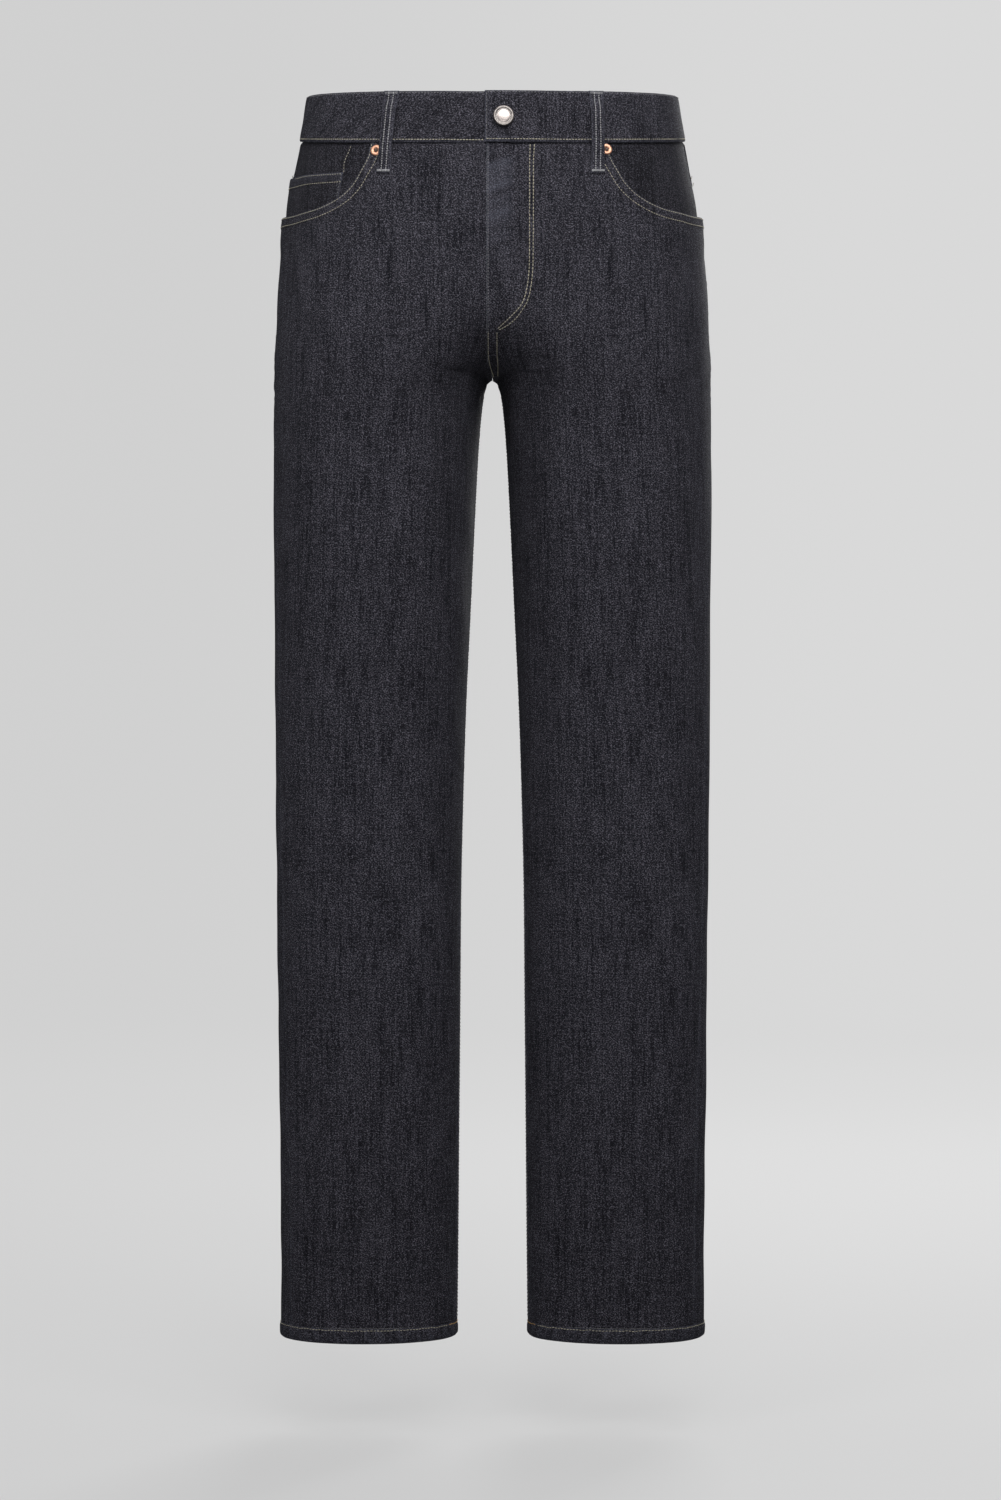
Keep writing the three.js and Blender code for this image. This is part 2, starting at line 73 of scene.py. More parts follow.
# ---- the body of the garment: the same rows as the solids ----
ROW_NAMES = (
    "down side_x side_y front_x front_y front_rise back_x back_y back_rise strip_x seam_x "
    "front_seam_y front_seam_z back_seam_y back_seam_z power bend lead"
).split()
ROWS = np.array([
    [-38, 156.5, 0, 40, -108, -16, 40, 102, 19, 4.7, 0.05, -109, 12, 103, 47, 3, 1.6, 0],
    [0, 163, 1, 48, -111, -21.2, 50, 110, 17, 4.7, 0.05, -112, -31.2, 110, 7, 3, 1.6, 0],
    [30, 169.6, 2, 55, -114, -18, 60, 122, 14, 4.7, 0.05, -114, -58, 120, -27, 3, 1.6, 1],
    [60, 176.4, 3, 60, -116, -14, 68, 132, 10, 4.7, 0.05, -115, -84.5, 128, -61, 3, 1.6, 2],
    [100, 180, 4, 68, -117, -10, 76, 139, 6, 4.7, 0.05, -113.5, -122, 131, -105, 3.4, 1.5, 4],
    [135, 182.5, 4, 75, -117, -6, 82, 140, 3, 4.7, 0.05, -108, -152, 126, -142, 4, 1.4, 8],
    [165, 184, 4, 80, -116, -3, 86, 137, 1, 4.7, 0.05, -97, -178, 112, -172, 3.3, 1.2, 13],
    [190, 185, 3, 85, -114, -2, 88, 131, 0, 4.7, 0.05, -72, -198.5, 85, -195, 2.55, 0.95, 17],
    [206, 185.2, 3, 88, -112, -1.5, 90, 125, 0, 4.7, 0.05, -36, -209.5, 46, -208, 2.32, 0.7, 19],
    [211, 185.3, 3, 89, -111, -1.2, 91, 123, 0, 4.7, 0.05, -16, -211.2, 28, -210.6, 2.36, 0.6, 20],
    [216, 185.3, 3, 90, -110, -1, 92, 121, 0, 4.7, 0.05, 6.6, -212, 9.4, -212, 2.36, 0.5, 21],
    [221, 185.4, 3, 91, -109, -1, 93, 119, 0, 4.9, 4.9, 7.4, -216, 8.6, -216, 2.28, 0.5, 22],
    [228, 185.5, 3, 92, -108, -1, 94, 117, 0, 7.2, 7.2, 8, -223, 8, -223, 2.23, 0.5, 23],
    [245, 185.6, 2, 93.5, -105.5, 0, 95, 112, 0, 9.8, 9.8, 8, -241, 8, -241, 2.27, 0.5, 27],
    [275, 185.6, 2, 95, -101.5, 0, 96, 105, 0, 12.4, 12.4, 8, -273, 8, -273, 2.3, 0.5, 33],
    [330, 185.6, 2, 97, -96, 0, 98, 96, 0, 15.5, 15.5, 6, -332, 6, -332, 2.25, 0.5, 36],
    [400, 185, 1, 99.5, -86, 0, 101, 84, 0, 19, 19, 4, -408, 4, -408, 2.1, 0.5, 36],
    [480, 184.5, 0, 102, -75, 0, 103, 74, 0, 22.8, 22.8, 2, -490, 2, -490, 2, 0.5, 32],
    [560, 184, 0, 103.5, -67, 0, 104, 69, 0, 25.3, 25.3, 1, -570, 1, -570, 2, 0.5, 29],
    [640, 183.2, 1, 104.5, -61, 0, 105, 69, 0, 27, 27, 2, -650, 2, -650, 2, 0.5, 29],
    [740, 181.8, 2, 105, -57, 0, 105, 69, 0, 27.8, 27.8, 3, -750, 3, -750, 2, 0.5, 29],
    [840, 180.6, 1, 105, -53.5, 0, 105, 62, 0, 28.7, 28.7, 2, -850, 2, -850, 2, 0.5, 31],
    [930, 179.8, 0, 105, -52, 0, 104.7, 55, 0, 29.4, 29.4, 0, -940, 0, -940, 2, 0.5, 31],
    [1013, 179.4, 0, 104.5, -52, 0, 104.5, 53, 0, 30.3, 30.3, 0, -1023, 0, -1023, 2, 0.5, 31],
])

# Pocket mouth: x from the centre, and how far the edge lies below the waist seam there.
MOUTH = np.array([
    [97, 0], [98.5, 9], [102, 18.3], [105.5, 25.3], [110, 34.3], [115, 41.5], [121, 48],
    [128, 53.3], [136, 57.6], [145, 60.8], [156, 63.2], [166, 65], [186, 66],
])
MOUTH_END = 66.0
MOUTH_STEPS = 60


def smooth(t):
    c = np.clip(t, 0.0, 1.0)
    return c * c * (3 - 2 * c)


def mix(a, b, t):
    return a + (b - a) * t


def fade(distance, reach):
    """1 at an edge, less and less away from it."""
    return np.exp(-distance / reach)


def bell(distance, width):
    """1 on a line, and about 0 from twice the width away."""
    return np.exp(-((distance / width) ** 2))


def table_at(rows, at):
    """Every column after the first at these places along the first, without overshoot."""
    key, values = rows[:, 0], rows[:, 1:]
    slope = np.diff(values, axis=0) / np.diff(key)[:, None]
    tangent = np.vstack([slope[:1], np.zeros_like(slope[1:]), slope[-1:]])
    before, after = slope[:-1], slope[1:]
    same = before * after > 0
    tangent[1:-1][same] = (2 * before * after)[same] / (before + after)[same]
    at = np.clip(np.asarray(at, float), key[0], key[-1])
    i = np.clip(np.searchsorted(key, at, side="right") - 1, 0, len(key) - 2)
    span = (key[i + 1] - key[i])[..., None]
    t = ((at - key[i]) / span[..., 0])[..., None]
    return (
        (2 * t**3 - 3 * t**2 + 1) * values[i]
        + (t**3 - 2 * t**2 + t) * span * tangent[i]
        + (3 * t**2 - 2 * t**3) * values[i + 1]
        + (t**3 - t**2) * span * tangent[i + 1]
    )


# ---- the surface, kept as a fine grid of points ----
ARC_STEPS = 90
ROUND_STEPS = 400
NORMAL_REACH = 2.0
DOWN = np.arange(-BAND_DEPTH, LEG_END + 0.5, 1.0)


def row_points(r):
    """One row of the half garment, from centre front round the side to centre back."""
    t = np.linspace(0, 1, ARC_STEPS + 1) ** 2.4
    side_z = WAIST_SEAM_Z - r["down"]

    def arc(end, peak, power, bend, is_side):
        turned = np.maximum(0, 1 - (1 - t) ** power) ** bend
        rise = turned if is_side else smooth(t)
        return np.stack([
            mix(end[0], peak[0], t), mix(end[1], peak[1], turned), mix(end[2], peak[2], rise),
        ], axis=1)

    side = (r["side_x"], r["side_y"], side_z)
    front = (r["front_x"], r["front_y"], side_z + r["front_rise"])
    back = (r["back_x"], r["back_y"], side_z + r["back_rise"])
    front_strip = (r["strip_x"], r["front_seam_y"], r["front_seam_z"])
    back_strip = (r["strip_x"], r["back_seam_y"], r["back_seam_z"])
    points = np.vstack([
        [[r["seam_x"], r["front_seam_y"], r["front_seam_z"]]],
        arc(front_strip, front, r["power"], r["bend"], False),
        arc(side, front, SIDE_SQUARE, 1 / SIDE_SQUARE, True)[::-1],
        arc(side, back, SIDE_SQUARE, 1 / SIDE_SQUARE, True),
        arc(back_strip, back, r["power"], r["bend"], False)[::-1],
        [[r["seam_x"], r["back_seam_y"], r["back_seam_z"]]],
    ])
    steps = np.hypot(np.diff(points[:, 0]), np.diff(points[:, 1]))
    along = np.concatenate([[0], np.cumsum(steps)])
    side_at = along[2 * (ARC_STEPS + 1)]
    back_at = along[3 * (ARC_STEPS + 1)]
    even = np.linspace(0, along[-1], ROUND_STEPS + 1)
    spread = np.stack([np.interp(even, along, points[:, k]) for k in range(3)], axis=1)
    return spread, along[-1], side_at - r["lead"], back_at


def whole_body():
    found = []
    for down, values in zip(DOWN, table_at(ROWS, DOWN)):
        found.append(row_points(dict(zip(ROW_NAMES, [down, *values]))))
    return [np.array(part) for part in zip(*found)]


BODY, TOTAL, OUTSEAM, REARMOST = whole_body()


def total_at(down):
    return np.interp(down, DOWN, TOTAL)


def outseam_at(down):
    return np.interp(down, DOWN, OUTSEAM)


def rearmost_at(down):
    return np.interp(down, DOWN, REARMOST)


def plumb_line(peak_name, from_back):
    """Distance round of the weave's straight, down the middle of each leg and plumb above it."""
    half = ROUND_STEPS // 2
    peaks = table_at(ROWS, DOWN)[:, ROW_NAMES.index(peak_name) - 1]
    at_crotch = np.interp(CROTCH, DOWN, peaks)
    found = []
    for row, total, x in zip(BODY, TOTAL, np.maximum(peaks, at_crotch)):
        line = row[:half:-1, 0] if from_back else row[:half, 0]
        part = np.interp(x, line, np.arange(len(line))) / ROUND_STEPS
        found.append(total * (1 - part if from_back else part))
    return np.array(found)


FRONT_STRAIGHT = plumb_line("front_x", False)
BACK_STRAIGHT = plumb_line("back_x", True)


def place(down, round_, side=1):
    """Points of the cloth. Above the crotch, distances past either centre seam cross over."""
    down, round_ = np.broadcast_arrays(np.asarray(down, float), np.asarray(round_, float))
    row = np.clip(down - DOWN[0], 0, len(DOWN) - 1.001)
    low = row.astype(int)
    total = total_at(down)
    folded = np.mod(round_, np.where(down > CROTCH, total, 2 * total))
    crossed = folded > total
    at = np.where(crossed, 2 * total - folded, folded)
    column = np.clip(at / total, 0, 1) * ROUND_STEPS
    left = np.minimum(column.astype(int), ROUND_STEPS - 1)
    share = (column - left)[..., None]
    upper = mix(BODY[low, left], BODY[low, left + 1], share)
    lower = mix(BODY[low + 1, left], BODY[low + 1, left + 1], share)
    points = mix(upper, lower, (row - low)[..., None])
    points[..., 0] *= np.where(crossed, -side, side)
    return points


def surface(down, round_, side=1):
    """The points and their outward normals."""
    near = NORMAL_REACH
    downwards = place(down + near, round_, side) - place(down - near, round_, side)
    sideways = place(down, round_ + near, side) - place(down, round_ - near, side)
    normal = np.cross(downwards, sideways) * side
    normal /= np.maximum(np.linalg.norm(normal, axis=-1, keepdims=True), 1e-9)
    return place(down, round_, side), normal


# ---- uneven relief of soft cloth ----
RELIEF_SEEDS = {1: 11, -1: 23}
WAVE_COUNT = 9
CENTRE_VALLEY = 0.8  # hollow in the fronts beside the crotch seam

# Soft creases: side, start and end as (round, down), half width, height (troughs below 0), and
# how far the middle bows down.
CREASES = [
    (-1, (16, 172), (78, 162), 8.0, -0.7, 3),
    (-1, (20, 190), (90, 184), 8.5, -0.7, 3),
    (-1, (34, 210), (104, 208), 10.0, -0.6, 3),
    (1, (38, 178), (82, 166), 8.0, -0.6, 3),
    (1, (26, 198), (94, 196), 9.0, -0.6, 3),
    (1, (40, 220), (104, 226), 10.0, -0.5, 3),
    (-1, (128, 250), (92, 330), 16.0, 0.9, 0),
    (1, (120, 255), (88, 345), 18.0, 0.9, 0),
    (-1, (96, 690), (120, 860), 15.0, 0.8, 0),
    (1, (92, 700), (70, 880), 15.0, 0.7, 0),
    (-1, (330, 560), (250, 590), 9.0, -1.5, 6),
    (-1, (240, 545), (330, 520), 8.0, -1.3, -5),
    (-1, (322, 610), (262, 622), 8.0, -1.0, 5),
    (1, (322, 552), (246, 575), 9.0, -1.5, 6),
    (1, (250, 530), (325, 512), 8.0, -1.2, -5),
    (1, (262, 604), (330, 618), 8.0, -1.0, 5),
    (-1, (406, 218), (322, 238), 9.0, -1.6, -6),
    (1, (410, 216), (326, 234), 9.0, -1.6, -6),
    (-1, (384, 252), (300, 262), 9.0, -1.1, -5),
    (1, (380, 248), (306, 268), 9.0, -1.2, -5),
]


def ripple(down, round_, seed):
    """Slow, uneven waves about 1 high, with no regular repeat."""
    rng = np.random.default_rng(seed)
    total = np.zeros(np.broadcast(down, round_).shape)
    for _ in range(WAVE_COUNT):
        long_wave, cross_wave = rng.uniform(70, 210), rng.uniform(38, 95)
        phase, lean = rng.uniform(0, 2 * math.pi), rng.uniform(-0.5, 0.5)
        turns = down / long_wave + (round_ + lean * down) / cross_wave
        total += np.sin(2 * math.pi * turns + phase)
    return total / 4.2


def pucker(along, seed, pitch=9.0):
    """Uneven little waves along a sewn seam, from about -1 to 1."""
    rng = np.random.default_rng(seed)
    total = np.zeros(np.shape(along))
    for scale in (1.0, 0.73, 1.37, 2.3):
        total = total + np.sin(2 * math.pi * along / (pitch * scale) + rng.uniform(0, 6.28))
    return total / 2.6


def crease_height(down, round_, start, end, width, rise, bow):
    """One soft crease, which fades in and out over its ends."""
    start, end = np.array(start, float), np.array(end, float)
    line = end - start
    length = np.hypot(*line)
    offset = np.stack([round_ - start[0], down - start[1]], axis=-1)
    along = (offset @ line) / length**2
    across = (offset[..., 0] * line[1] - offset[..., 1] * line[0]) / length
    across = across + bow * np.sin(math.pi * np.clip(along, 0, 1)) * np.sign(line[0])
    shown = smooth((along + 0.15) / 0.4) * smooth((1.15 - along) / 0.4)
    return rise * shown * bell(across, width)


def body_relief(down, round_, side):
    """Height of the cloth over its smooth shape. It is level at the centre seams and the waist."""
    total = total_at(down)
    height = 0.5 * ripple(down, round_, RELIEF_SEEDS[side])
    for crease_side, *crease in CREASES:
        if crease_side == side:
            height = height + crease_height(down, round_, *crease)
    valley = bell(round_ - 17, 7) * smooth((down - 140) / 40) * smooth((236 - down) / 30)
    height = height - CENTRE_VALLEY * valley
    from_centre = np.minimum(np.abs(round_), np.abs(total - round_))
    from_centre = np.minimum(from_centre, np.abs(round_ - 2 * total))
    return height * smooth((from_centre - 6) / 16) * smooth((down + 6) / 50)


# ---- materials ----
class Material:
    """A material, to which nodes are added one by one."""

    def __init__(self, name):
        self.material = bpy.data.materials.new(name)
        self.material.use_nodes = True
        self.tree = self.material.node_tree

    def fill(self, made, **inputs):
        """Sets a node's inputs, by name or as _0, _1, to values or other nodes' outputs."""
        for key, value in inputs.items():
            socket = made.inputs[int(key[1:]) if key[0] == "_" else key.replace("_", " ")]
            if isinstance(value, bpy.types.NodeSocket):
                self.tree.links.new(value, socket)
            else:
                socket.default_value = value

    def node(self, kind, settings=None, **inputs):
        made = self.tree.nodes.new(f"ShaderNode{kind}")
        for key, value in (settings or {}).items():
            setattr(made, key, value)
        self.fill(made, **inputs)
        return made

    def maths(self, operation, *values):
        inputs = {f"_{i}": value for i, value in enumerate(values)}
        return self.node("Math", {"operation": operation}, **inputs).outputs[0]

    def scaled(self, value, amount):
        return self.maths("MULTIPLY", value, amount)

    def blend(self, amount, low, high):
        """A colour between two, of which the first may be another node's."""
        low = low if isinstance(low, bpy.types.NodeSocket) else (*low, 1)
        settings = {"data_type": "RGBA"}
        return self.node("Mix", settings, _0=amount, _6=low, _7=(*high, 1)).outputs[2]

    def object_place(self):
        return self.node("TexCoord").outputs["Object"]

    def grains(self, per_metre, detail):
        """Noise in the round, with so many grains a metre."""
        return self.node(
            "TexNoise", Vector=self.object_place(), Scale=per_metre, Detail=detail
        ).outputs[0]

    def cloth_noise(self, place_, u_size, v_size, detail=1.0, rough=0.5):
        """Noise on the cloth whose grains are u_size across and v_size along."""
        scale = (1000 / u_size, 1000 / v_size, 1.0)
        moved = self.node("VectorMath", {"operation": "MULTIPLY"}, _0=place_, _1=scale)
        return self.node(
            "TexNoise", {"noise_dimensions": "2D"},
            Vector=moved.outputs[0], Scale=1.0, Detail=detail, Roughness=rough,
        ).outputs[0]

    def finish(self, colour, rough, **inputs):
        shader = self.tree.nodes["Principled BSDF"]
        self.fill(shader, Base_Color=colour, Roughness=rough, **inputs)
        return self.material

    def bump(self, strength, depth, height):
        made = self.node("Bump", Strength=strength, Distance=depth * MM, Height=height)
        return made.outputs[0]


WARP_PITCH = 0.64  # from one warp yarn to the next
WEFT_PITCH = 0.56
TWILL_REPEAT = 4  # the weft shows most over every fourth warp yarn, one further along each row
TWILL_SHARE = 0.28  # how much oftener it shows there
WARP_SHARE = 0.84  # how often the warp covers it elsewhere
WEFT_TONE = (3.6, 0.4)  # how much a weft yarn's brightness varies, and the least it is
WARP_TONE = (0.22, 0.05)  # the same for a warp yarn, from its side to its top
CLOTH_CONTRAST = 4.6  # power of the flecks
YARN_HEIGHT, FIBRE_HEIGHT, SCRATCH_HEIGHT = 0.2, 0.05, 0.04  # of the bumps


def twill(made, place_):
    """The heights of the warp and weft yarns where each shows, and how bright they are."""
    part = made.node("SeparateXYZ", Vector=place_).outputs

    def arch(value):
        return made.maths("SINE", made.scaled(made.maths("FRACT", value), math.pi))

    across = made.scaled(part[0], 1000 / WARP_PITCH)
    along = made.scaled(part[1], 1000 / WEFT_PITCH)
    warp, weft = made.maths("FLOOR", across), made.maths("FLOOR", along)
    turn = made.maths("FLOORED_MODULO", made.maths("ADD", warp, weft), TWILL_REPEAT)
    on_twill = made.maths("LESS_THAN", turn, 0.5)
    cell = made.node("CombineXYZ", _0=warp, _1=weft).outputs[0]
    random = made.node("TexWhiteNoise", {"noise_dimensions": "2D"}, Vector=cell)
    chance = made.maths("MULTIPLY_ADD", on_twill, TWILL_SHARE, random.outputs["Value"])
    is_weft = made.maths("GREATER_THAN", chance, WARP_SHARE)
    warp_yarn = made.scaled(arch(across), made.maths("SUBTRACT", 1.0, is_weft))
    weft_yarn = made.scaled(arch(along), is_weft)
    paleness = made.node("SeparateColor", Color=random.outputs["Color"]).outputs[1]
    paleness = made.maths("POWER", paleness, 2.5)
    brightness = made.maths(
        "MULTIPLY_ADD", weft_yarn, made.maths("MULTIPLY_ADD", paleness, *WEFT_TONE),
        made.maths("MULTIPLY_ADD", warp_yarn, *WARP_TONE),
    )
    return made.maths("ADD", warp_yarn, weft_yarn), brightness


def denim_material(name, dark, light, worn_colour):
    """Twill of dyed warp and pale weft yarns, with slubs, flecks, uneven dye and worn places."""
    made = Material(name)
    place_ = made.node("UVMap", {"uv_map": "weave"}).outputs[0]
    worn = made.node("Attribute", {"attribute_name": "wear"}).outputs["Fac"]
    fleck = made.cloth_noise(place_, 1.15, 0.95, 2.0, 0.6)
    uneven = (
        (made.cloth_noise(place_, 1.6, 30.0), 1.7),  # slubs of the warp
        (made.cloth_noise(place_, 5.0, 90.0), 1.0),  # streaks
        (made.cloth_noise(place_, 22.0, 1.5), 0.9),  # slubs of the weft
        (made.cloth_noise(place_, 26.0, 40.0, 3.0, 0.55), 0.9),  # mottling
        (made.cloth_noise(place_, 3.2, 4.2, 2.0), 0.8),  # grain
    )
    shade = 1.0
    for noise, amount in uneven:
        shade = made.maths("MULTIPLY_ADD", made.maths("SUBTRACT", noise, 0.5), amount, shade)
    shade = made.maths("MAXIMUM", shade, 0.2)
    yarn_height, brightness = twill(made, place_)
    tone = made.maths("POWER", made.scaled(fleck, 2.0), CLOTH_CONTRAST)
    tone = made.scaled(made.scaled(tone, shade), made.scaled(brightness, 0.5))
    patchy = made.scaled(worn, made.maths("MULTIPLY_ADD", fleck, 1.6, -0.1))
    height = made.maths("MULTIPLY_ADD", fleck, 0.6, yarn_height)
    return made.finish(
        made.blend(patchy, made.blend(tone, dark, light), worn_colour),
        made.maths("MULTIPLY_ADD", fleck, 0.25, 0.72),
        Normal=made.bump(0.6, YARN_HEIGHT, height), Specular_IOR_Level=0.08, Sheen_Weight=0.02,
        Sheen_Roughness=0.55, Sheen_Tint=(0.75, 0.78, 0.9, 1),
    )


def thread_material(name, colour, deep):
    """Twisted cotton thread whose tone changes from stitch to stitch."""
    made = Material(name)
    tone = made.node("Attribute", {"attribute_name": "tone"}).outputs["Fac"]
    fibre = made.grains(2600, 2.0)
    amount = made.maths("MULTIPLY_ADD", fibre, 0.5, made.scaled(tone, 0.75))
    bump = made.bump(0.5, FIBRE_HEIGHT, fibre)
    return made.finish(made.blend(amount, deep, colour), 0.7, Normal=bump)


def metal_material(name, bright, dull, rough, patch_size=2.4):
    """Plated metal with fine scratches and a duller tone in patches."""
    made = Material(name)
    scratch = made.grains(2400, 4.0)
    return made.finish(
        made.blend(made.grains(1000 / patch_size, 3.0), dull, bright),
        made.maths("MULTIPLY_ADD", scratch, 0.2, rough),
        Normal=made.bump(0.25, SCRATCH_HEIGHT, scratch), Metallic=1.0,
    )


WORN_BLUE = (0.12, 0.125, 0.16)
denim = denim_material("denim_face", (0.004, 0.004, 0.006), (0.152, 0.146, 0.178), WORN_BLUE)
# Darker denim for the facings and the coin pocket, which are set back inside the pocket mouths: its
# darker colours are painted shade of that recess.
denim_recess_shade = denim_material(
    "denim_painted_shade", (0.003, 0.003, 0.004), (0.095, 0.091, 0.112), WORN_BLUE
)
denim_inside = denim_material(
    "denim_inside", (0.05, 0.055, 0.065), (0.6, 0.62, 0.66), (0.3, 0.3, 0.32)
)
thread_pale = thread_material("thread_pale", (0.46, 0.43, 0.33), (0.14, 0.125, 0.09))
thread_worn = thread_material("thread_worn", (0.22, 0.215, 0.22), (0.045, 0.045, 0.05))
thread_gold = thread_material("thread_gold", (0.55, 0.33, 0.11), (0.22, 0.11, 0.03))
thread_white = thread_material("thread_white", (0.42, 0.42, 0.43), (0.12, 0.12, 0.13))
nickel = metal_material("button_nickel", (0.72, 0.65, 0.62), (0.50, 0.43, 0.40), 0.32)
nickel_ring = metal_material("button_ring", (0.62, 0.57, 0.54), (0.03, 0.025, 0.025), 0.38, 0.9)
nickel_rim = metal_material("button_rim", (0.20, 0.18, 0.17), (0.06, 0.05, 0.05), 0.35)
copper = metal_material("rivet_copper", (0.90, 0.50, 0.34), (0.55, 0.28, 0.18), 0.28)
brass_dark = metal_material("rivet_pin", (0.16, 0.12, 0.10), (0.05, 0.04, 0.04), 0.4)

# ---- meshes ----
FINE = (0.0, 0.3, 0.8, 1.6, 3.0, 5.0, 7.4)  # lines near an edge, at these distances from it
FINE_SHORT = 5  # how many of them a narrow piece has
EDGE_REACH = 0.8  # how near an edge the cloth thins and turns down


def new_object(name, mesh, materials):
    for material in materials:
        mesh.materials.append(material)
    obj = bpy.data.objects.new(name, mesh)
    bpy.context.scene.collection.objects.link(obj)
    return obj


def spaced(length, step):
    """Places from 0 to length, close together at both ends."""
    fine = np.array(FINE)
    if length < 3 * fine[-1]:
        fine = fine[:FINE_SHORT]
    count = max(2, int(round((length - 2 * fine[-1]) / step)) + 1)
    middle = np.linspace(fine[-1], length - fine[-1], count)
    return np.concatenate([fine[:-1], middle, length - fine[:-1][::-1]])


def shares(length, step):
    """Shares of a length, from 0 to 1 and close together at both ends."""
    return spaced(length, step) / length


def tube_faces(count, steps):
    """Faces between rings of points, each joined to the next and closed on itself."""
    faces = []
    for k in range(count - 1):
        low, high = k * steps, (k + 1) * steps
        for s in range(steps):
            after = (s + 1) % steps
            faces.append((low + s, low + after, high + after, high + s))
    return faces


def warp_depth(points, down):
    """Depth along the warp: plumb on the trunk, along the cloth from the hips down."""
    return mix(points[..., 2], WAIST_SEAM_Z - down, smooth((down - 120) / 60))


def sheet_faces(rows, columns, ring):
    """Faces of a sheet's face, then of its back, then of the rims between them."""
    index = np.arange(rows * columns).reshape(rows, columns)
    if ring:
        index = np.hstack([index, index[:, :1]])
    a, b = index[:-1, :-1].ravel(), index[1:, :-1].ravel()
    c, d = index[1:, 1:].ravel(), index[:-1, 1:].ravel()
    count = rows * columns
    face = np.stack([a, b, c, d], axis=1)
    back = np.stack([a, d, c, b], axis=1) + count
    borders = [index[0][::-1], index[-1]]
    if not ring:
        borders += [index[:, 0], index[:, -1][::-1]]
    rims = []
    for border in borders:
        here, there = border[:-1], border[1:]
        rims.append(np.stack([there, here, here + count, there + count], axis=1))
    return face, back, np.vstack(rims)


def closed_sheet(name, outer, inner, weave, wear, side, ring, materials):
    """A closed mesh from two grids of points, the face and the back of the cloth."""
    face, back, rims = sheet_faces(*outer.shape[:2], ring)
    faces = np.vstack([face, back, rims])
    if side < 0:
        faces = faces[:, ::-1]
    points = np.vstack([outer.reshape(-1, 3), inner.reshape(-1, 3)])
    mesh = bpy.data.meshes.new(name)
    mesh.from_pydata((points * MM).tolist(), [], faces.tolist())
    weave = weave.reshape(-1, 2) * MM
    corners = np.empty(len(mesh.loops), dtype=np.int32)
    mesh.loops.foreach_get("vertex_index", corners)
    layer = mesh.uv_layers.new(name="weave")
    layer.data.foreach_set("uv", np.vstack([weave, weave])[corners].astype(np.float32).ravel())
    worn = mesh.attributes.new("wear", "FLOAT", "POINT")
    worn.data.foreach_set("value", np.tile(wear.ravel(), 2).astype(np.float32))
    is_back = np.zeros(len(faces), dtype=np.int32)
    is_back[len(face):len(face) + len(back)] = 1
    mesh.polygons.foreach_set("material_index", is_back)
    mesh.shade_smooth()
    return new_object(name, mesh, materials)


def declare(obj, node_name):
    """Hides the frame's node that a cloth piece stands for, and fixes the piece to the root."""
    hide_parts(node_name)
    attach(obj, "root")


def cloth(
    node_name, down, round_, side, lift, wall, outline, raised, wear, ring=False, relief=True,
    straight=None, face=denim,
):
    """A piece of cloth over a grid of places, which replaces a node of the frame.

    lift is how far the face stands off the garment's shape, raised what only the face rises by,
    as a felled seam or a worn ridge does, outline the distance to the nearest edge, and straight
    the distance round of a warp yarn at each depth."""
    points, normals = surface(down, round_, side)
    body = body_relief(down, round_, side) if relief else 0.0
    at_edge = wall * fade(np.maximum(outline, 0), EDGE_REACH)
    heights = (lift + body + raised - 0.4 * at_edge, lift + body - wall + 0.25 * at_edge)
    outer, inner = [points + normals * height[..., None] for height in heights]
    weft = round_ if straight is None else round_ - np.interp(down, DOWN, straight)
    weave = np.stack([side * weft, warp_depth(points, down)], axis=-1)
    obj = closed_sheet(
        f"{node_name}_cloth", outer, inner, weave, wear, side, ring, (face, denim_inside)
    )
    declare(obj, node_name)


# ---- panel edges ----
INSEAM_TURN = np.array([[216, 0], [330, 0.6], [450, 2.5], [600, 8], [700, 9.5], [1013, 9.5]])


def fly_edge(down):
    return -FLY_EDGE * (1 - smooth((down - FLY_RETURN) / (CROTCH - FLY_RETURN)))


def inseam_turn(down):
    """How far the inseam has turned towards the front, lower down the leg."""
    return table_at(INSEAM_TURN, down)[..., 0]


def seam_inset(down):
    """Half the gap at the centre seams and inseams, a little wider at the crotch."""
    return HALF_GAP + 0.15 * smooth(1 - np.abs(down - CROTCH) / 12)


def front_start(down, side):
    return side * fly_edge(down) + inseam_turn(down)


def front_round(down, fraction, side):
    start = front_start(down, side) + seam_inset(down)
    return mix(start, outseam_at(down) - HALF_GAP, fraction)


def back_round(down, fraction):
    end = total_at(down) - seam_inset(down) + inseam_turn(down)
    return mix(outseam_at(down) + HALF_GAP, end, fraction)


def mouth_down(fraction):
    """Depth of the front's top edge, the pocket mouth, at fractions of the front's width."""
    fraction = np.asarray(fraction, float)
    down = np.zeros(fraction.shape)
    for _ in range(12):
        x = place(down, fraction * outseam_at(down))[..., 0]
        drop = np.where(x <= MOUTH[0, 0], 0, table_at(MOUTH, np.maximum(x, MOUTH[0, 0]))[..., 0])
        down = mix(down, drop, 0.7)
    return down


def mouth_start():
    """Fraction of the front's width where the mouth meets the waist seam."""
    tries = np.linspace(0.3, 0.9, 2401)
    x = place(np.zeros(len(tries)), tries * outseam_at(0))[:, 0]
    return float(tries[np.argmax(x >= MOUTH[0, 0])])


FRONT_WIDTH = float(outseam_at(0))
MOUTH_FRACTION = mouth_start()


def mouth_line(side):
    """The pocket mouth's edge as places on the cloth, from the waist seam to the outseam."""
    fraction = MOUTH_FRACTION + (1 - MOUTH_FRACTION) * np.linspace(0, 1, MOUTH_STEPS) ** 1.6
    down = mouth_down(fraction)
    return down, front_round(down, fraction, side)


def yoke_seam(fraction):
    return mix(YOKE_SIDE, YOKE_BACK, fraction)


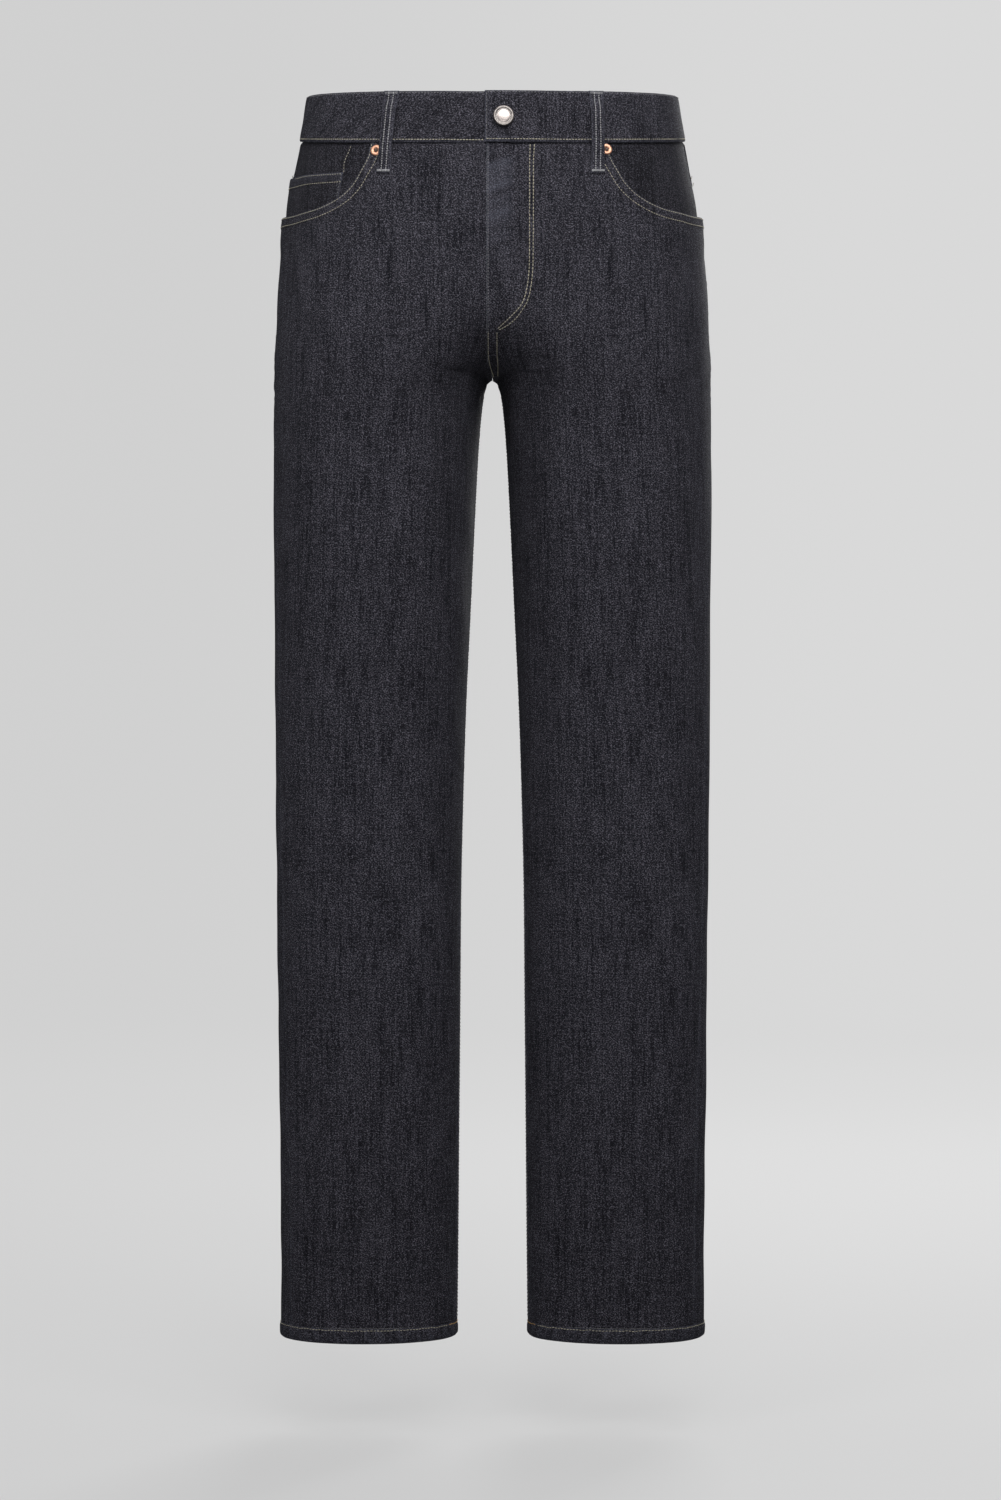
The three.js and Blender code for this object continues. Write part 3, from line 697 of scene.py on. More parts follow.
def distance_to_line(down, round_, line_down, line_round):
    """Distance on the cloth from each place to a line of places."""
    best = np.full(down.shape, 1e9)
    for k in range(len(line_down) - 1):
        start = np.array([line_down[k], line_round[k]])
        step = np.array([line_down[k + 1], line_round[k + 1]]) - start
        offset = np.stack([down - start[0], round_ - start[1]], axis=-1)
        t = np.clip((offset @ step) / max(step @ step, 1e-9), 0, 1)
        best = np.minimum(best, np.linalg.norm(offset - t[..., None] * step, axis=-1))
    return best


# ---- how the layers stand, and what their seams raise ----
ROW_STEP = 2.8
COLUMN_STEP = 3.6
TUCK = 5.0  # how far the panels run up behind the waistband
LEVEL_BELOW = 150.0  # the lines across a leg panel follow its shaped top down to here
MOUTH_HEM = 9.5
MOUTH_COLUMNS = np.array([0, 0.35, 0.8, 1.4, 2.1, 3.0, 4.2, 5.8, 7.6])  # at its steep start
MOUTH_CORNER = 3.8  # how far the front's corner stands out at the outseam
SIDE_REACH = 48.0  # the layers stand apart and draw in this near the outseam
SIDE_HOLLOW = 2.5
FELL = 8.6  # width of the doubled cloth at a felled seam
RIDGE = 0.45  # and its height
MOUTH_SEED, FLY_SEED, COIN_SEED, HEM_SEED, BAND_SEED = 8, 77, 61, 9, 77
# Waves beside a seam: seed, pitch, height and how far in they reach.
PUCKERS = {
    "outseam": (5, 9.0, 0.32, 5.0),
    "inseam": (31, 9.0, 0.3, 7.0),
    "back_top": (40, 9.0, 0.25, 6.0),
    "yoke": (40, 9.0, 0.22, 6.0),
    "waist": (3, 7.5, 0.18, 5.0),
    "band_top": (4, 7.0, 0.16, 5.0),
    "back_pocket": (71, 8.0, 0.25, 6.0),
}
# Worn edges: how worn, and how far in that reaches.
WEAR = {
    "mouth": (0.55, 1.0),
    "fly": (0.55, 1.0),
    "outseam": (0.22, 1.2),
    "outseam_waves": (0.2, 3.0),
    "inseam": (0.16, 1.5),
    "centre_back": (0.25, 1.2),
    "back_top": (0.25, 1.2),
    "yoke": (0.45, 1.0),
    "waist": (0.65, 0.8),
    "band_top": (0.18, 1.4),
    "band_end": (0.55, 1.1),
    "hem": (0.25, 1.5),
    "facing": (0.1, 1.5),
    "coin_top": (0.6, 1.0),
    "coin_inner": (0.35, 1.0),
    "back_pocket": (0.5, 1.0),
    "back_pocket_top": (0.1, 5.0),
    "loop": (0.32, 0.7),
}


def puckered(seam, along, distance, side=0):
    """Waves along a seam, less high away from it. Each side of the garment has its own."""
    seed, pitch, height, reach = PUCKERS[seam]
    return height * pucker(along, seed + side, pitch) * fade(distance, reach)


def outseam_pucker(down, distance):
    """Waves beside the outseam, the same on the front and the back."""
    return puckered("outseam", down, distance) * smooth((down - 70) / 50)


def edge_wear(edge, distance):
    amount, reach = WEAR[edge]
    return amount * fade(distance, reach)


def ridge(distance, width, slope=1.4):
    """The extra height of cloth that is doubled up to a width from an edge."""
    return RIDGE * smooth((width - distance) / slope)


def leg_share(down):
    """0 on the trunk and 1 on the legs."""
    return smooth((down - CROTCH - 4) / 10)


def near_side(down, round_):
    return smooth(1 - np.abs(round_ - outseam_at(down)) / SIDE_REACH)


def hollow(down, round_):
    """Every layer draws in beside the outseam, down to the end of the pocket mouth."""
    depth = smooth((down - 4) / (MOUTH_END - 4)) * smooth(1 - (down - MOUTH_END) / 26)
    return -SIDE_HOLLOW * depth * near_side(down, round_)


def bulge(height, down, round_):
    """What a layer stands out by near the outseam, where it is sewn down again."""
    return height * smooth((outseam_at(down) - round_) / 5) * near_side(down, round_)


def front_stand(down, round_):
    """How the front stands beside the outseam: drawn in, but out at the mouth's folded corner."""
    corner = MOUTH_CORNER * smooth(1 - (down - MOUTH_END) / 36)
    return hollow(down, round_) + bulge(corner, down, round_)


def tuck(down):
    """The panels' tops turn in behind the waistband."""
    return -2.6 * smooth((1.6 - down) / 2.6)


def panel_lines(top, highest):
    """Depths of the lines across a leg panel, level below its shaped top."""
    lines = highest + spaced(PANEL_END - HALF_GAP - highest, ROW_STEP)[:, None]
    shaped = np.clip(1 - (lines - highest) / (LEVEL_BELOW - highest), 0, 1)
    return lines + (top - highest) * shaped


# ---- cloth pieces ----
def fly_stand(down, round_):
    """How far the left front stands off over the fly's hidden layers."""
    over = smooth((FLY_RIDGE + 1.5 - round_) / 4) * smooth((FLY_END + 30 - down) / 40)
    return FLY_STAND * over


def fly_forms(down, round_, from_edge):
    """What the left front's face rises by along its fly, and how worn it is there."""
    groove = bell(round_ - FLY_RIDGE - 2, 2.2) * smooth((112 - down) / 60)
    within = smooth((33 - round_) / 5) * smooth((150 - down) / 20) * smooth(down / 8)
    raised = 0.3 * within * smooth((round_ - 20) / 8) - 0.8 * groove
    rubbed = 0.24 + 0.24 * pucker(down + 0.4 * round_, FLY_SEED, 16)
    rubbed = rubbed * fly_stand(down, round_) / FLY_STAND
    rubbed = rubbed * smooth((125 - down) / 80) * smooth((down - 4) / 12)
    return raised, rubbed + edge_wear("fly", from_edge) * smooth((FLY_END + 30 - down) / 30)


def make_front(side, name):
    columns = shares(FRONT_WIDTH, COLUMN_STEP)
    near_mouth = MOUTH_FRACTION + MOUTH_COLUMNS / FRONT_WIDTH
    clear = (columns < near_mouth[0] - 0.004) | (columns > near_mouth[-1] + 0.004)
    columns = np.sort(np.concatenate([columns[clear], near_mouth]))
    is_inner = columns < MOUTH_FRACTION
    top = np.where(is_inner, -TUCK, mouth_down(columns) + HALF_GAP)
    down = panel_lines(top, -TUCK)
    round_ = front_round(down, columns, side)
    from_inner, from_side = round_ - front_start(down, side), outseam_at(down) - round_
    near = (columns >= MOUTH_FRACTION - 0.02) & (down <= 110)
    from_mouth = np.where(near, distance_to_line(down, round_, *mouth_line(side)), FAR)
    outline = np.minimum.reduce([from_inner, from_side, down - top, from_mouth])
    is_leg = leg_share(down)
    on_rise = smooth((down - FLY_END + 4) / 10) * (1 - is_leg)
    lift = front_stand(down, round_) + tuck(down) * is_inner
    raised = ridge(from_mouth, MOUTH_HEM) + outseam_pucker(down, from_side)
    raised += 0.22 * pucker(down * 0.8 + round_, MOUTH_SEED, 7.0) * bell(from_mouth - 8, 3)
    raised += is_leg * puckered("inseam", down, from_inner, side)
    raised += on_rise * ridge(from_inner, 5.2, 1.2) * (1.0 if side > 0 else 0.8)
    raised += 0.2 * is_leg * smooth((4.0 - from_inner) / 3.0)
    crests = np.clip(pucker(down, PUCKERS["outseam"][0]), 0, 1)
    wear = edge_wear("mouth", from_mouth) + edge_wear("outseam", from_side)
    wear += is_leg * edge_wear("inseam", from_inner) + crests * edge_wear("outseam_waves", from_side)
    if side > 0:
        fly_raised, fly_wear = fly_forms(down, round_, from_inner)
        lift += fly_stand(down, round_)
        raised += fly_raised
        wear += fly_wear
    cloth(name, down, round_, side, lift, DENIM, outline, raised, wear, straight=FRONT_STRAIGHT)


def make_back(side, name):
    columns = shares(total_at(100) - outseam_at(100), COLUMN_STEP)
    top = yoke_seam(columns) + HALF_GAP
    down = panel_lines(top, YOKE_SIDE)
    round_ = back_round(down, columns)
    from_side, from_top = round_ - outseam_at(down), down - top
    from_centre = total_at(down) + inseam_turn(down) - round_
    is_leg = leg_share(down)
    raised = outseam_pucker(down, from_side) + puckered("back_top", round_, from_top, side)
    raised += is_leg * puckered("inseam", down, from_centre, side)
    raised += (1 if side > 0 else is_leg) * ridge(from_centre, FELL)
    wear = edge_wear("outseam", from_side) + edge_wear("back_top", from_top)
    wear += edge_wear("centre_back", from_centre)
    cloth(
        name, down, round_, side, hollow(down, round_), DENIM,
        np.minimum.reduce([from_side, from_centre, from_top]), raised, wear,
        straight=BACK_STRAIGHT,
    )


YOKE_DEPTH = 55.0  # about its depth, for the spacing of its rows


def make_yoke(side, name):
    columns = shares(total_at(30) - outseam_at(30), COLUMN_STEP)
    rows = shares(YOKE_DEPTH, 3.0)[:, None]
    bottom = yoke_seam(columns)
    down = mix(-TUCK, bottom - HALF_GAP, rows)
    round_ = back_round(down, columns)
    from_side, from_bottom = round_ - outseam_at(down), bottom - down
    from_centre = total_at(down) - round_
    raised = ridge(from_bottom, FELL) + puckered("yoke", round_, from_bottom, side)
    if side > 0:
        raised = np.maximum(raised, ridge(from_centre, FELL))
    wear = edge_wear("yoke", from_bottom) + edge_wear("centre_back", from_centre)
    cloth(
        name, down, round_, side, hollow(down, round_) + tuck(down), DENIM,
        np.minimum.reduce([from_side, from_centre, from_bottom, down + TUCK]), raised, wear,
        straight=BACK_STRAIGHT,
    )


BAND_LENGTH = 850.0  # about its length, for the spacing of its columns
BAND_START = -6.0  # distance round of the waistband's left end
BAND_OVERLAP = 26.0  # how far its right end runs past centre front under it
HOLE_FROM, HOLE_TO, HOLE_DOWN = 17.0, 35.0, -18.0  # the buttonhole's slit


def band_lift(round_, total):
    """The waistband's left end lies over its right end at centre front."""
    out = smooth((64 - round_) / 40)
    under = smooth((round_ - total + 44) / 36)
    return BAND_STAND + BAND_LAP * (out - under)


def make_waistband():
    rows = spaced(BAND_DEPTH - 0.3, 2.4)[:, None] - BAND_DEPTH
    total = 2 * total_at(rows)
    round_ = mix(BAND_START, total + BAND_OVERLAP, shares(BAND_LENGTH, 3.2))
    down = np.broadcast_to(rows, round_.shape)
    from_left, from_right = round_ - BAND_START, total + BAND_OVERLAP - round_
    from_top, from_bottom = down + BAND_DEPTH, -down
    slit = bell(down - HOLE_DOWN, 1.0) * smooth((round_ - HOLE_FROM) / 3)
    raised = -0.9 * fade(from_top, 1.1) - 0.4 * fade(from_bottom, 0.9)
    raised = raised + puckered("waist", round_, from_bottom)
    raised += puckered("band_top", round_, from_top)
    raised += 0.18 * ripple(down * 1.6, round_ * 1.5, BAND_SEED)
    raised -= 0.25 * bell(from_bottom - 2.6, 1.0) + slit * smooth((HOLE_TO - round_) / 4)
    wear = edge_wear("waist", from_bottom) + edge_wear("band_top", from_top)
    wear += edge_wear("band_end", from_left)
    wear += 0.22 * smooth((10 - from_bottom) / 8) * bell(round_ - 6, 7)
    cloth(
        "waistband", down, round_, 1, band_lift(round_, total), BAND_WALL,
        np.minimum.reduce([from_left, from_right, from_top, from_bottom]), raised, wear,
        relief=False,
    )


HEM_COLUMNS = 150


def make_hem(side, name):
    rows = (spaced(HEM_DEPTH - HALF_GAP, 1.8) + PANEL_END + HALF_GAP)[:, None]
    total = total_at(rows)
    round_ = np.arange(HEM_COLUMNS) / HEM_COLUMNS * total
    down = np.broadcast_to(rows, round_.shape)
    from_top, from_bottom = down - PANEL_END, LEG_END - down
    wave = 2 * math.pi / total
    roping = np.sin(wave * 46 * round_ + down / 3.2) + 0.7 * np.sin(wave * 29 * round_ + down / 4)
    lift = 0.5 + 0.3 * np.sin(math.pi * np.clip(from_top / HEM_DEPTH, 0, 1))
    raised = 0.22 * roping * smooth(from_top / 5) * smooth((from_bottom + 1) / 3)
    raised -= 0.5 * bell(from_top - 1.6, 1.0) + 0.5 * fade(from_bottom, 0.9)
    wear = 0.22 * np.clip(roping, 0, 1) + edge_wear("hem", from_bottom)
    wear += 0.25 * bell(from_top - 0.4, 1.2)
    cloth(
        name, down, round_, side, lift, HEM_WALL, np.minimum(from_top, from_bottom), raised, wear,
        ring=True,
    )


FACING_WALL = 1.0
FACING_DEPTH = 70.0  # about its depth, for the spacing of its rows
FACING_FRACTION = -0.12  # it starts this share of the mouth's length before the mouth
FACING_UNDER = 11.5  # how far it runs on below the mouth, behind the front
FACING_LIFT = -DENIM - 0.55
COIN_SIDE = -1
COIN_WALL = 0.9
COIN_DEPTH = 40.0  # the same for the coin pocket
COIN_FRACTION = 0.167  # where the coin pocket starts along the mouth
COIN_INNER_TOP, COIN_SIDE_TOP = 27.0, 32.5
COIN_STAND = 2.5  # how far its top edge stands open
MOUTH_WIDTH = 190.0  # about the front's width there


def mouth_fractions(start, step):
    """Fractions of the front's width from a share of the mouth to the outseam."""
    first = mix(MOUTH_FRACTION, 1, start)
    length = (1 - first) * MOUTH_WIDTH
    return mix(first, 1, shares(length, step))


def make_facing(side, name):
    columns = mouth_fractions(FACING_FRACTION, 2.6)
    rows = shares(FACING_DEPTH, 2.6)[:, None]
    down = mix(-TUCK, mouth_down(columns) + FACING_UNDER, rows)
    round_ = front_round(down, columns, side)
    from_side = outseam_at(down) - round_
    raised = outseam_pucker(down, from_side)
    if side < 0:
        crease = bell(down - 33 - 0.10 * (round_ - 100), 4)
        raised -= 0.7 * crease * smooth((150 - round_) / 20)
    # The facing is drawn in the darker denim, which is painted shade for its place behind the pocket
    # mouth.
    cloth(
        name, down, round_, side, FACING_LIFT + hollow(down, round_) + tuck(down), FACING_WALL,
        np.minimum(down + TUCK, from_side), raised, edge_wear("facing", from_side),
        straight=FRONT_STRAIGHT, face=denim_recess_shade,
    )


def coin_top(fraction):
    """Depth of the coin pocket's top edge, lower towards the side."""
    first = mix(MOUTH_FRACTION, 1, COIN_FRACTION)
    return mix(COIN_INNER_TOP, COIN_SIDE_TOP, (fraction - first) / (1 - first))


def coin_stand(from_top, down, round_):
    opening = COIN_STAND * np.clip(1 - from_top / 32, 0, 1)
    return hollow(down, round_) + bulge(opening, down, round_) - 0.3


def make_coin_pocket():
    columns = mouth_fractions(COIN_FRACTION, 2.2)
    top = coin_top(columns)
    rows = shares(COIN_DEPTH, 2.0)[:, None]
    down = mix(top, mouth_down(columns) - 2 * HALF_GAP, rows)
    round_ = front_round(down, columns, COIN_SIDE)
    from_top, from_inner = down - top, (columns - columns[0]) * MOUTH_WIDTH
    raised = 0.7 * ridge(from_top, 9.2, 1.2)
    raised += 0.2 * pucker(round_, COIN_SEED, 6.0) * bell(from_top - 8, 3)
    wear = edge_wear("coin_top", from_top) + edge_wear("coin_inner", from_inner)
    wear += 0.12 * smooth((9 - from_top) / 2)
    # The coin pocket is drawn in the darker denim, which is painted shade for its place inside the
    # pocket mouth.
    cloth(
        "coin_pocket", down, round_, COIN_SIDE, coin_stand(from_top, down, round_), COIN_WALL,
        np.minimum(from_top, from_inner), raised, wear, straight=FRONT_STRAIGHT, face=denim_recess_shade,
    )


POCKET_TOP, POCKET_DEPTH, POCKET_POINT = 80.0, 112.0, 16.0
POCKET_TOP_HALF, POCKET_BOTTOM_HALF = 72.0, 63.0
POCKET_SLANT = 8.0  # its top is this much higher at the side, and lower at centre back
POCKET_FROM_REARMOST = 16.0
POCKET_LIFT = 0.6 + 1.2
POCKET_HEM = 14.0
POCKET_STEP = 2.8


def pocket_place(across, along):
    """A place on a back pocket: across from -1 at centre back to 1, along from 0 at its top."""
    deep = POCKET_DEPTH + (1 - np.abs(across)) * POCKET_POINT
    down = POCKET_TOP - POCKET_SLANT * across + along * deep
    half = mix(POCKET_TOP_HALF, POCKET_BOTTOM_HALF, smooth(along * 1.1))
    return down, rearmost_at(down) - POCKET_FROM_REARMOST - across * half


def make_back_pocket(side, name):
    across = spaced(2 * POCKET_TOP_HALF, POCKET_STEP) / POCKET_TOP_HALF - 1
    along = shares(POCKET_DEPTH, POCKET_STEP)[:, None]
    down, round_ = pocket_place(across, along)
    from_top, from_bottom = along * POCKET_DEPTH, (1 - along) * POCKET_DEPTH
    edge = np.minimum(from_bottom, (1 - np.abs(across)) * POCKET_TOP_HALF)
    outline = np.minimum(from_top, edge)
    raised = ridge(from_top, POCKET_HEM) - 0.4 * fade(edge, 1.2)
    raised = raised + puckered("back_pocket", down + round_, edge, side)
    wear = edge_wear("back_pocket", outline) + edge_wear("back_pocket_top", from_top)
    cloth(
        name, down, round_, side, POCKET_LIFT, DENIM, outline, raised, wear,
        straight=BACK_STRAIGHT,
    )


LOOP_WIDTH, LOOP_WAIST = 12.4, 2.0  # at the tacked ends, and how much narrower in the middle
LOOP_COLUMNS = np.array([0, 0.9, 1.9, 2.9, 3.7, 4.5, 5.2, 5.8, 6.2]) / (LOOP_WIDTH / 2)
LOOP_WALL, LOOP_RISE = 1.8, 3.0
LOOP_TOP, LOOP_END = -37.4, 28.5
LOOP_ROW = 1.9  # stitch rows either side of the loop's middle


def centre_front(down):
    return 0.0 * down


# The loops: name, where it is placed from, how far round from there at top and foot, and side.
LOOPS = (
    ("belt_loop_front_left", centre_front, 85, 86.3, 1),
    ("belt_loop_front_right", centre_front, 82, 89, -1),
    ("belt_loop_side_left", outseam_at, 78, 78, 1),
    ("belt_loop_side_right", outseam_at, 78, 78, -1),
    ("belt_loop_back", total_at, 0, 0, 1),
)


def loop_share(down):
    return (down - LOOP_TOP) / (LOOP_END - LOOP_TOP)


def loop_middle(down, start, top, foot):
    return start(down) + mix(top, foot, loop_share(down))


def loop_lift(down):
    base = mix(BAND_STAND + 0.3, 0.3, smooth((down + 2) / 12))
    slack = smooth((down - LOOP_TOP - 5) / 9) * smooth((LOOP_END - 5 - down) / 18)
    return base + LOOP_RISE * slack + LOOP_WALL


def make_loop(name, start, top, foot, side):
    rows = (spaced(LOOP_END - LOOP_TOP, 2.0) + LOOP_TOP)[:, None]
    columns = np.concatenate([-LOOP_COLUMNS[:0:-1], LOOP_COLUMNS])
    down = np.broadcast_to(rows, (len(rows), len(columns)))
    half = (LOOP_WIDTH - LOOP_WAIST * np.sin(math.pi * loop_share(down))) / 2
    across = columns * half
    outline = np.minimum.reduce([half - np.abs(across), down - LOOP_TOP, LOOP_END - down])
    dent = bell(np.abs(across) - LOOP_ROW, 0.8)
    cloth(
        name, down, loop_middle(down, start, top, foot) + across, side, loop_lift(down),
        LOOP_WALL, outline, -0.35 * dent + 0.12 * pucker(down, len(name), 6),
        edge_wear("loop", outline) + 0.04 * (1 - dent), relief=False,
    )

# ---- stitches ----
# Sewn rows: from one stitch to the next, a stitch's length and the thread's thickness.
SEAMS = {
    "fly": (2.9, 2.3, 0.38),
    "edge": (2.6, 1.9, 0.26),
    "rise": (2.6, 2.0, 0.32),
    "mouth": (2.7, 2.0, 0.3),
    "coin": (2.6, 1.9, 0.28),
    "coin_side": (2.4, 1.5, 0.22),
    "inseam": (3.1, 1.9, 0.23),
    "outseam": (3.4, 1.3, 0.2),
    "hem": (2.8, 2.1, 0.27),
    "hem_end": (2.6, 2.0, 0.30),
    "waist": (2.5, 2.2, 0.36),
    "band": (2.6, 1.7, 0.24),
    "back": (2.9, 2.1, 0.27),
    "loop": (2.0, 1.45, 0.44),
    "loop_foot": (3.0, 2.2, 0.32),
    "loop_top": (3.0, 2.2, 0.2),
    "pocket_tack": (3.0, 2.2, 0.24),
}
FELLED_ROWS = (1.7, 7.3)  # the two rows' distances from a felled seam
STITCH_SIDES = 6
# Rings of a stitch: shares of its length and thickness, and how high the thread lies there.
STITCH_RINGS = (
    (-0.5, 0.15, -0.30), (-0.36, 0.85, -0.02), (0.0, 1.0, 0.06), (0.36, 0.85, -0.02),
    (0.5, 0.15, -0.30),
)


class Stitching:
    """Gathers sewn rows of one thread and makes one mesh of them."""

    def __init__(self, name, material):
        self.name, self.material = name, material
        self.rows = []

    def row(self, seam, down, round_, side, lift, relief=True):
        """A row of stitches along places on the cloth, lift above the garment's shape."""
        pitch, length, width = SEAMS[seam]
        down, round_ = np.broadcast_arrays(np.asarray(down, float), np.asarray(round_, float))
        points, normals = surface(down, round_, side)
        if relief:
            lift = lift + body_relief(down, round_, side)
        points = points + normals * np.broadcast_to(lift + 0.10, down.shape)[..., None]
        steps = np.linalg.norm(np.diff(points, axis=0), axis=1)
        along = np.concatenate([[0], np.cumsum(steps)])
        count = max(1, int(round(along[-1] / pitch)))
        middles = (np.arange(count) + 0.5) * along[-1] / count

        def at(distance, values):
            distance = np.clip(distance, 0, along[-1])
            return np.stack([np.interp(distance, along, values[:, k]) for k in range(3)], axis=1)

        direction = at(middles + 0.8, points) - at(middles - 0.8, points)
        direction /= np.maximum(np.linalg.norm(direction, axis=1, keepdims=True), 1e-9)
        self.rows.append((
            at(middles, points), direction, at(middles, normals), np.full(count, length),
            np.full(count, width),
        ))

    def make(self):
        """One small spindle a stitch, sunk at its ends where the thread enters the cloth."""
        rng = np.random.default_rng(len(self.name))
        centres, alongs, ups, lengths, widths = [np.concatenate(part) for part in zip(*self.rows)]
        count = len(centres)
        across = np.cross(ups, alongs)
        across /= np.maximum(np.linalg.norm(across, axis=1, keepdims=True), 1e-9)
        ups = np.cross(alongs, across)
        alongs = alongs + across * rng.normal(0, 0.06, (count, 1))
        lengths = lengths * rng.uniform(0.9, 1.08, count)
        vertices = []
        for share, fat, height in STITCH_RINGS:
            middle = centres + alongs * (share * lengths)[:, None] + ups * height
            for turn in 2 * math.pi * np.arange(STITCH_SIDES) / STITCH_SIDES:
                reach = across * math.cos(turn) + ups * math.sin(turn)
                vertices.append(middle + reach * (fat * widths)[:, None])
        vertices = np.stack(vertices, axis=1)
        each = len(STITCH_RINGS) * STITCH_SIDES
        quads = [(a, d, c, b) for a, b, c, d in tube_faces(len(STITCH_RINGS), STITCH_SIDES)]
        starts = np.arange(count) * each
        faces = (np.array(quads)[None] + starts[:, None, None]).reshape(-1, 4).tolist()
        ends = (range(STITCH_SIDES), range(each - 1, each - 1 - STITCH_SIDES, -1))
        for start in starts.tolist():
            for end in ends:
                faces.append([start + v for v in end])
        mesh = bpy.data.meshes.new(self.name)
        mesh.from_pydata((vertices.reshape(-1, 3) * MM).tolist(), [], faces)
        tone = mesh.attributes.new("tone", "FLOAT", "POINT")
        tones = np.repeat(rng.uniform(0.35, 1.0, count), each)
        tone.data.foreach_set("value", tones.astype(np.float32))
        mesh.shade_smooth()
        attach(new_object(self.name, mesh, (self.material,)), "root")


def offset_line(down, round_, distance):
    """A line of places moved sideways on the cloth, to the right of its own direction."""
    step_down, step_round = np.gradient(down), np.gradient(round_)
    length = np.maximum(np.hypot(step_down, step_round), 1e-9)
    return down + distance * step_round / length, round_ - distance * step_down / length


# The fly's two rows, which close up at its foot: down, round of the outer, round of the inner.
FLY_ROWS = np.array([
    [0, 34.5, 31], [20, 33.6, 30.5], [112, 33.5, 30.5], [125, 33, 30], [137, 32, 28.7],
    [146, 30, 26.4], [152, 27, 22.7], [159, 22.5, 16], [164.5, 16.5, 9.6], [168, 10, 5.2],
    [169.5, 5.5, 4],
])
FLY_FOOT = FLY_ROWS[-1, 0]


def sew_fly(pale, worn):
    down = np.linspace(1, FLY_FOOT, 160)
    for round_ in table_at(FLY_ROWS, down).T:
        keep = round_ > 4.5
        lift = fly_stand(down[keep], round_[keep]) + 0.15
        pale.row("fly", down[keep], round_[keep], 1, lift)
    down = np.linspace(3, CROTCH - 5, 110)
    lift = fly_stand(down, 0) + 0.2 * smooth((down - FLY_END) / 20) - 0.05
    worn.row("edge", down, fly_edge(down) + 1.2, 1, lift)
    down = np.linspace(FLY_FOOT + 2, CROTCH - 5, 30)
    for from_edge in (1.2, 8.4):
        pale.row("rise", down, fly_edge(down) + from_edge, 1, 0.38)


def sew_mouths(pale):
    for side, _ in SIDES:
        for distance in (1.3, 8.0):
            down, round_ = offset_line(*mouth_line(side), distance)
            lift = RIDGE + front_stand(down, round_) - 0.05
            inside = (round_ < outseam_at(down) - 0.8) & (down > 0.8)
            pale.row("mouth", down[inside], round_[inside], side, lift[inside])


def sew_coin_pocket(pale, worn):
    columns = mouth_fractions(COIN_FRACTION, 3.0)
    down = coin_top(columns) + 8.8
    round_ = front_round(down, columns, COIN_SIDE)
    lift = coin_stand(8.8, down, round_) + 0.1
    pale.row("coin", down, round_, COIN_SIDE, lift)
    pale.row("edge", down - 7.4, round_, COIN_SIDE, lift)
    first = columns[0]
    down = np.linspace(coin_top(first) + 1, float(mouth_down(first)) - 1, 20)
    round_ = front_round(down, first, COIN_SIDE) + 1.4
    worn.row("coin_side", down, round_, COIN_SIDE, -0.25)
    down = np.linspace(2, coin_top(first), 14)
    slant = mix(120.0, front_round(COIN_INNER_TOP, first, COIN_SIDE), smooth(down / 20))
    pale.row("edge", down, slant, COIN_SIDE, FACING_LIFT)


def sew_legs(worn, pale, gold):
    for side, _ in SIDES:
        down = np.linspace(CROTCH + 14, PANEL_END - 2, 260)
        for distance in (1.7, 7.6):
            round_ = total_at(down) + inseam_turn(down) - distance
            worn.row("inseam", down, round_, side, RIDGE - 0.08)
        down = np.linspace(90, PANEL_END - 2, 300)
        worn.row("outseam", down, outseam_at(down) - 0.9, side, -0.42)
        total = float(total_at(PANEL_END + 1.6))
        round_ = np.linspace(0, total, 160)
        down = PANEL_END + 1.7 + 0.35 * pucker(round_, HEM_SEED, 11)
        start = float(inseam_turn(PANEL_END))
        is_pale = (round_ >= start + 15) & (round_ <= total - 6)
        pale.row("hem", down[is_pale], round_[is_pale], side, 0.35)
        for end in (round_ < start + 16, round_ > total - 7):
            gold.row("hem_end", down[end], round_[end], side, 0.4)


def sew_band(pale, worn):
    rows = ((pale, "waist", -2.4, -2.5, 0.42), (worn, "band", -36, -36.4, 0.3))
    for stitching, seam, total_down, down, sunk in rows:
        total = float(2 * total_at(total_down))
        round_ = np.linspace(-5, total - 7, 900)
        stitching.row(seam, down, round_, 1, band_lift(round_, total) - sunk, relief=False)
    down = np.linspace(-36, -2, 30)
    worn.row("band", down, -4.4, 1, band_lift(-4.4, total) - 0.1, relief=False)


def sew_back(pale):
    for side, _ in SIDES:
        fraction = np.linspace(0.005, 0.985, 90)
        for distance in FELLED_ROWS:
            down = yoke_seam(fraction) - distance
            pale.row("back", down, back_round(down, fraction), side, RIDGE - 0.05)
        for inset in (1.8, 7.6):
            inner, low = 1 - inset / POCKET_TOP_HALF, 1 - inset / POCKET_DEPTH
            edge, bottom = np.linspace(0.015, low, 50), np.linspace(-inner, inner, 60)[1:-1]
            across = np.concatenate([np.full(50, -inner), bottom, np.full(50, inner)])
            along = np.concatenate([edge, np.full(58, low), edge[::-1]])
            pale.row("back", *pocket_place(across, along), side, POCKET_LIFT - 0.1)
        for distance in (1.8, 12.0):
            place_ = pocket_place(np.linspace(-0.97, 0.97, 60), distance / POCKET_DEPTH)
            pale.row("back", *place_, side, POCKET_LIFT + RIDGE - 0.05)
    down = np.linspace(1, CROTCH - 8, 90)
    for distance in FELLED_ROWS:
        pale.row("back", down, total_at(down) - distance, 1, RIDGE - 0.05)


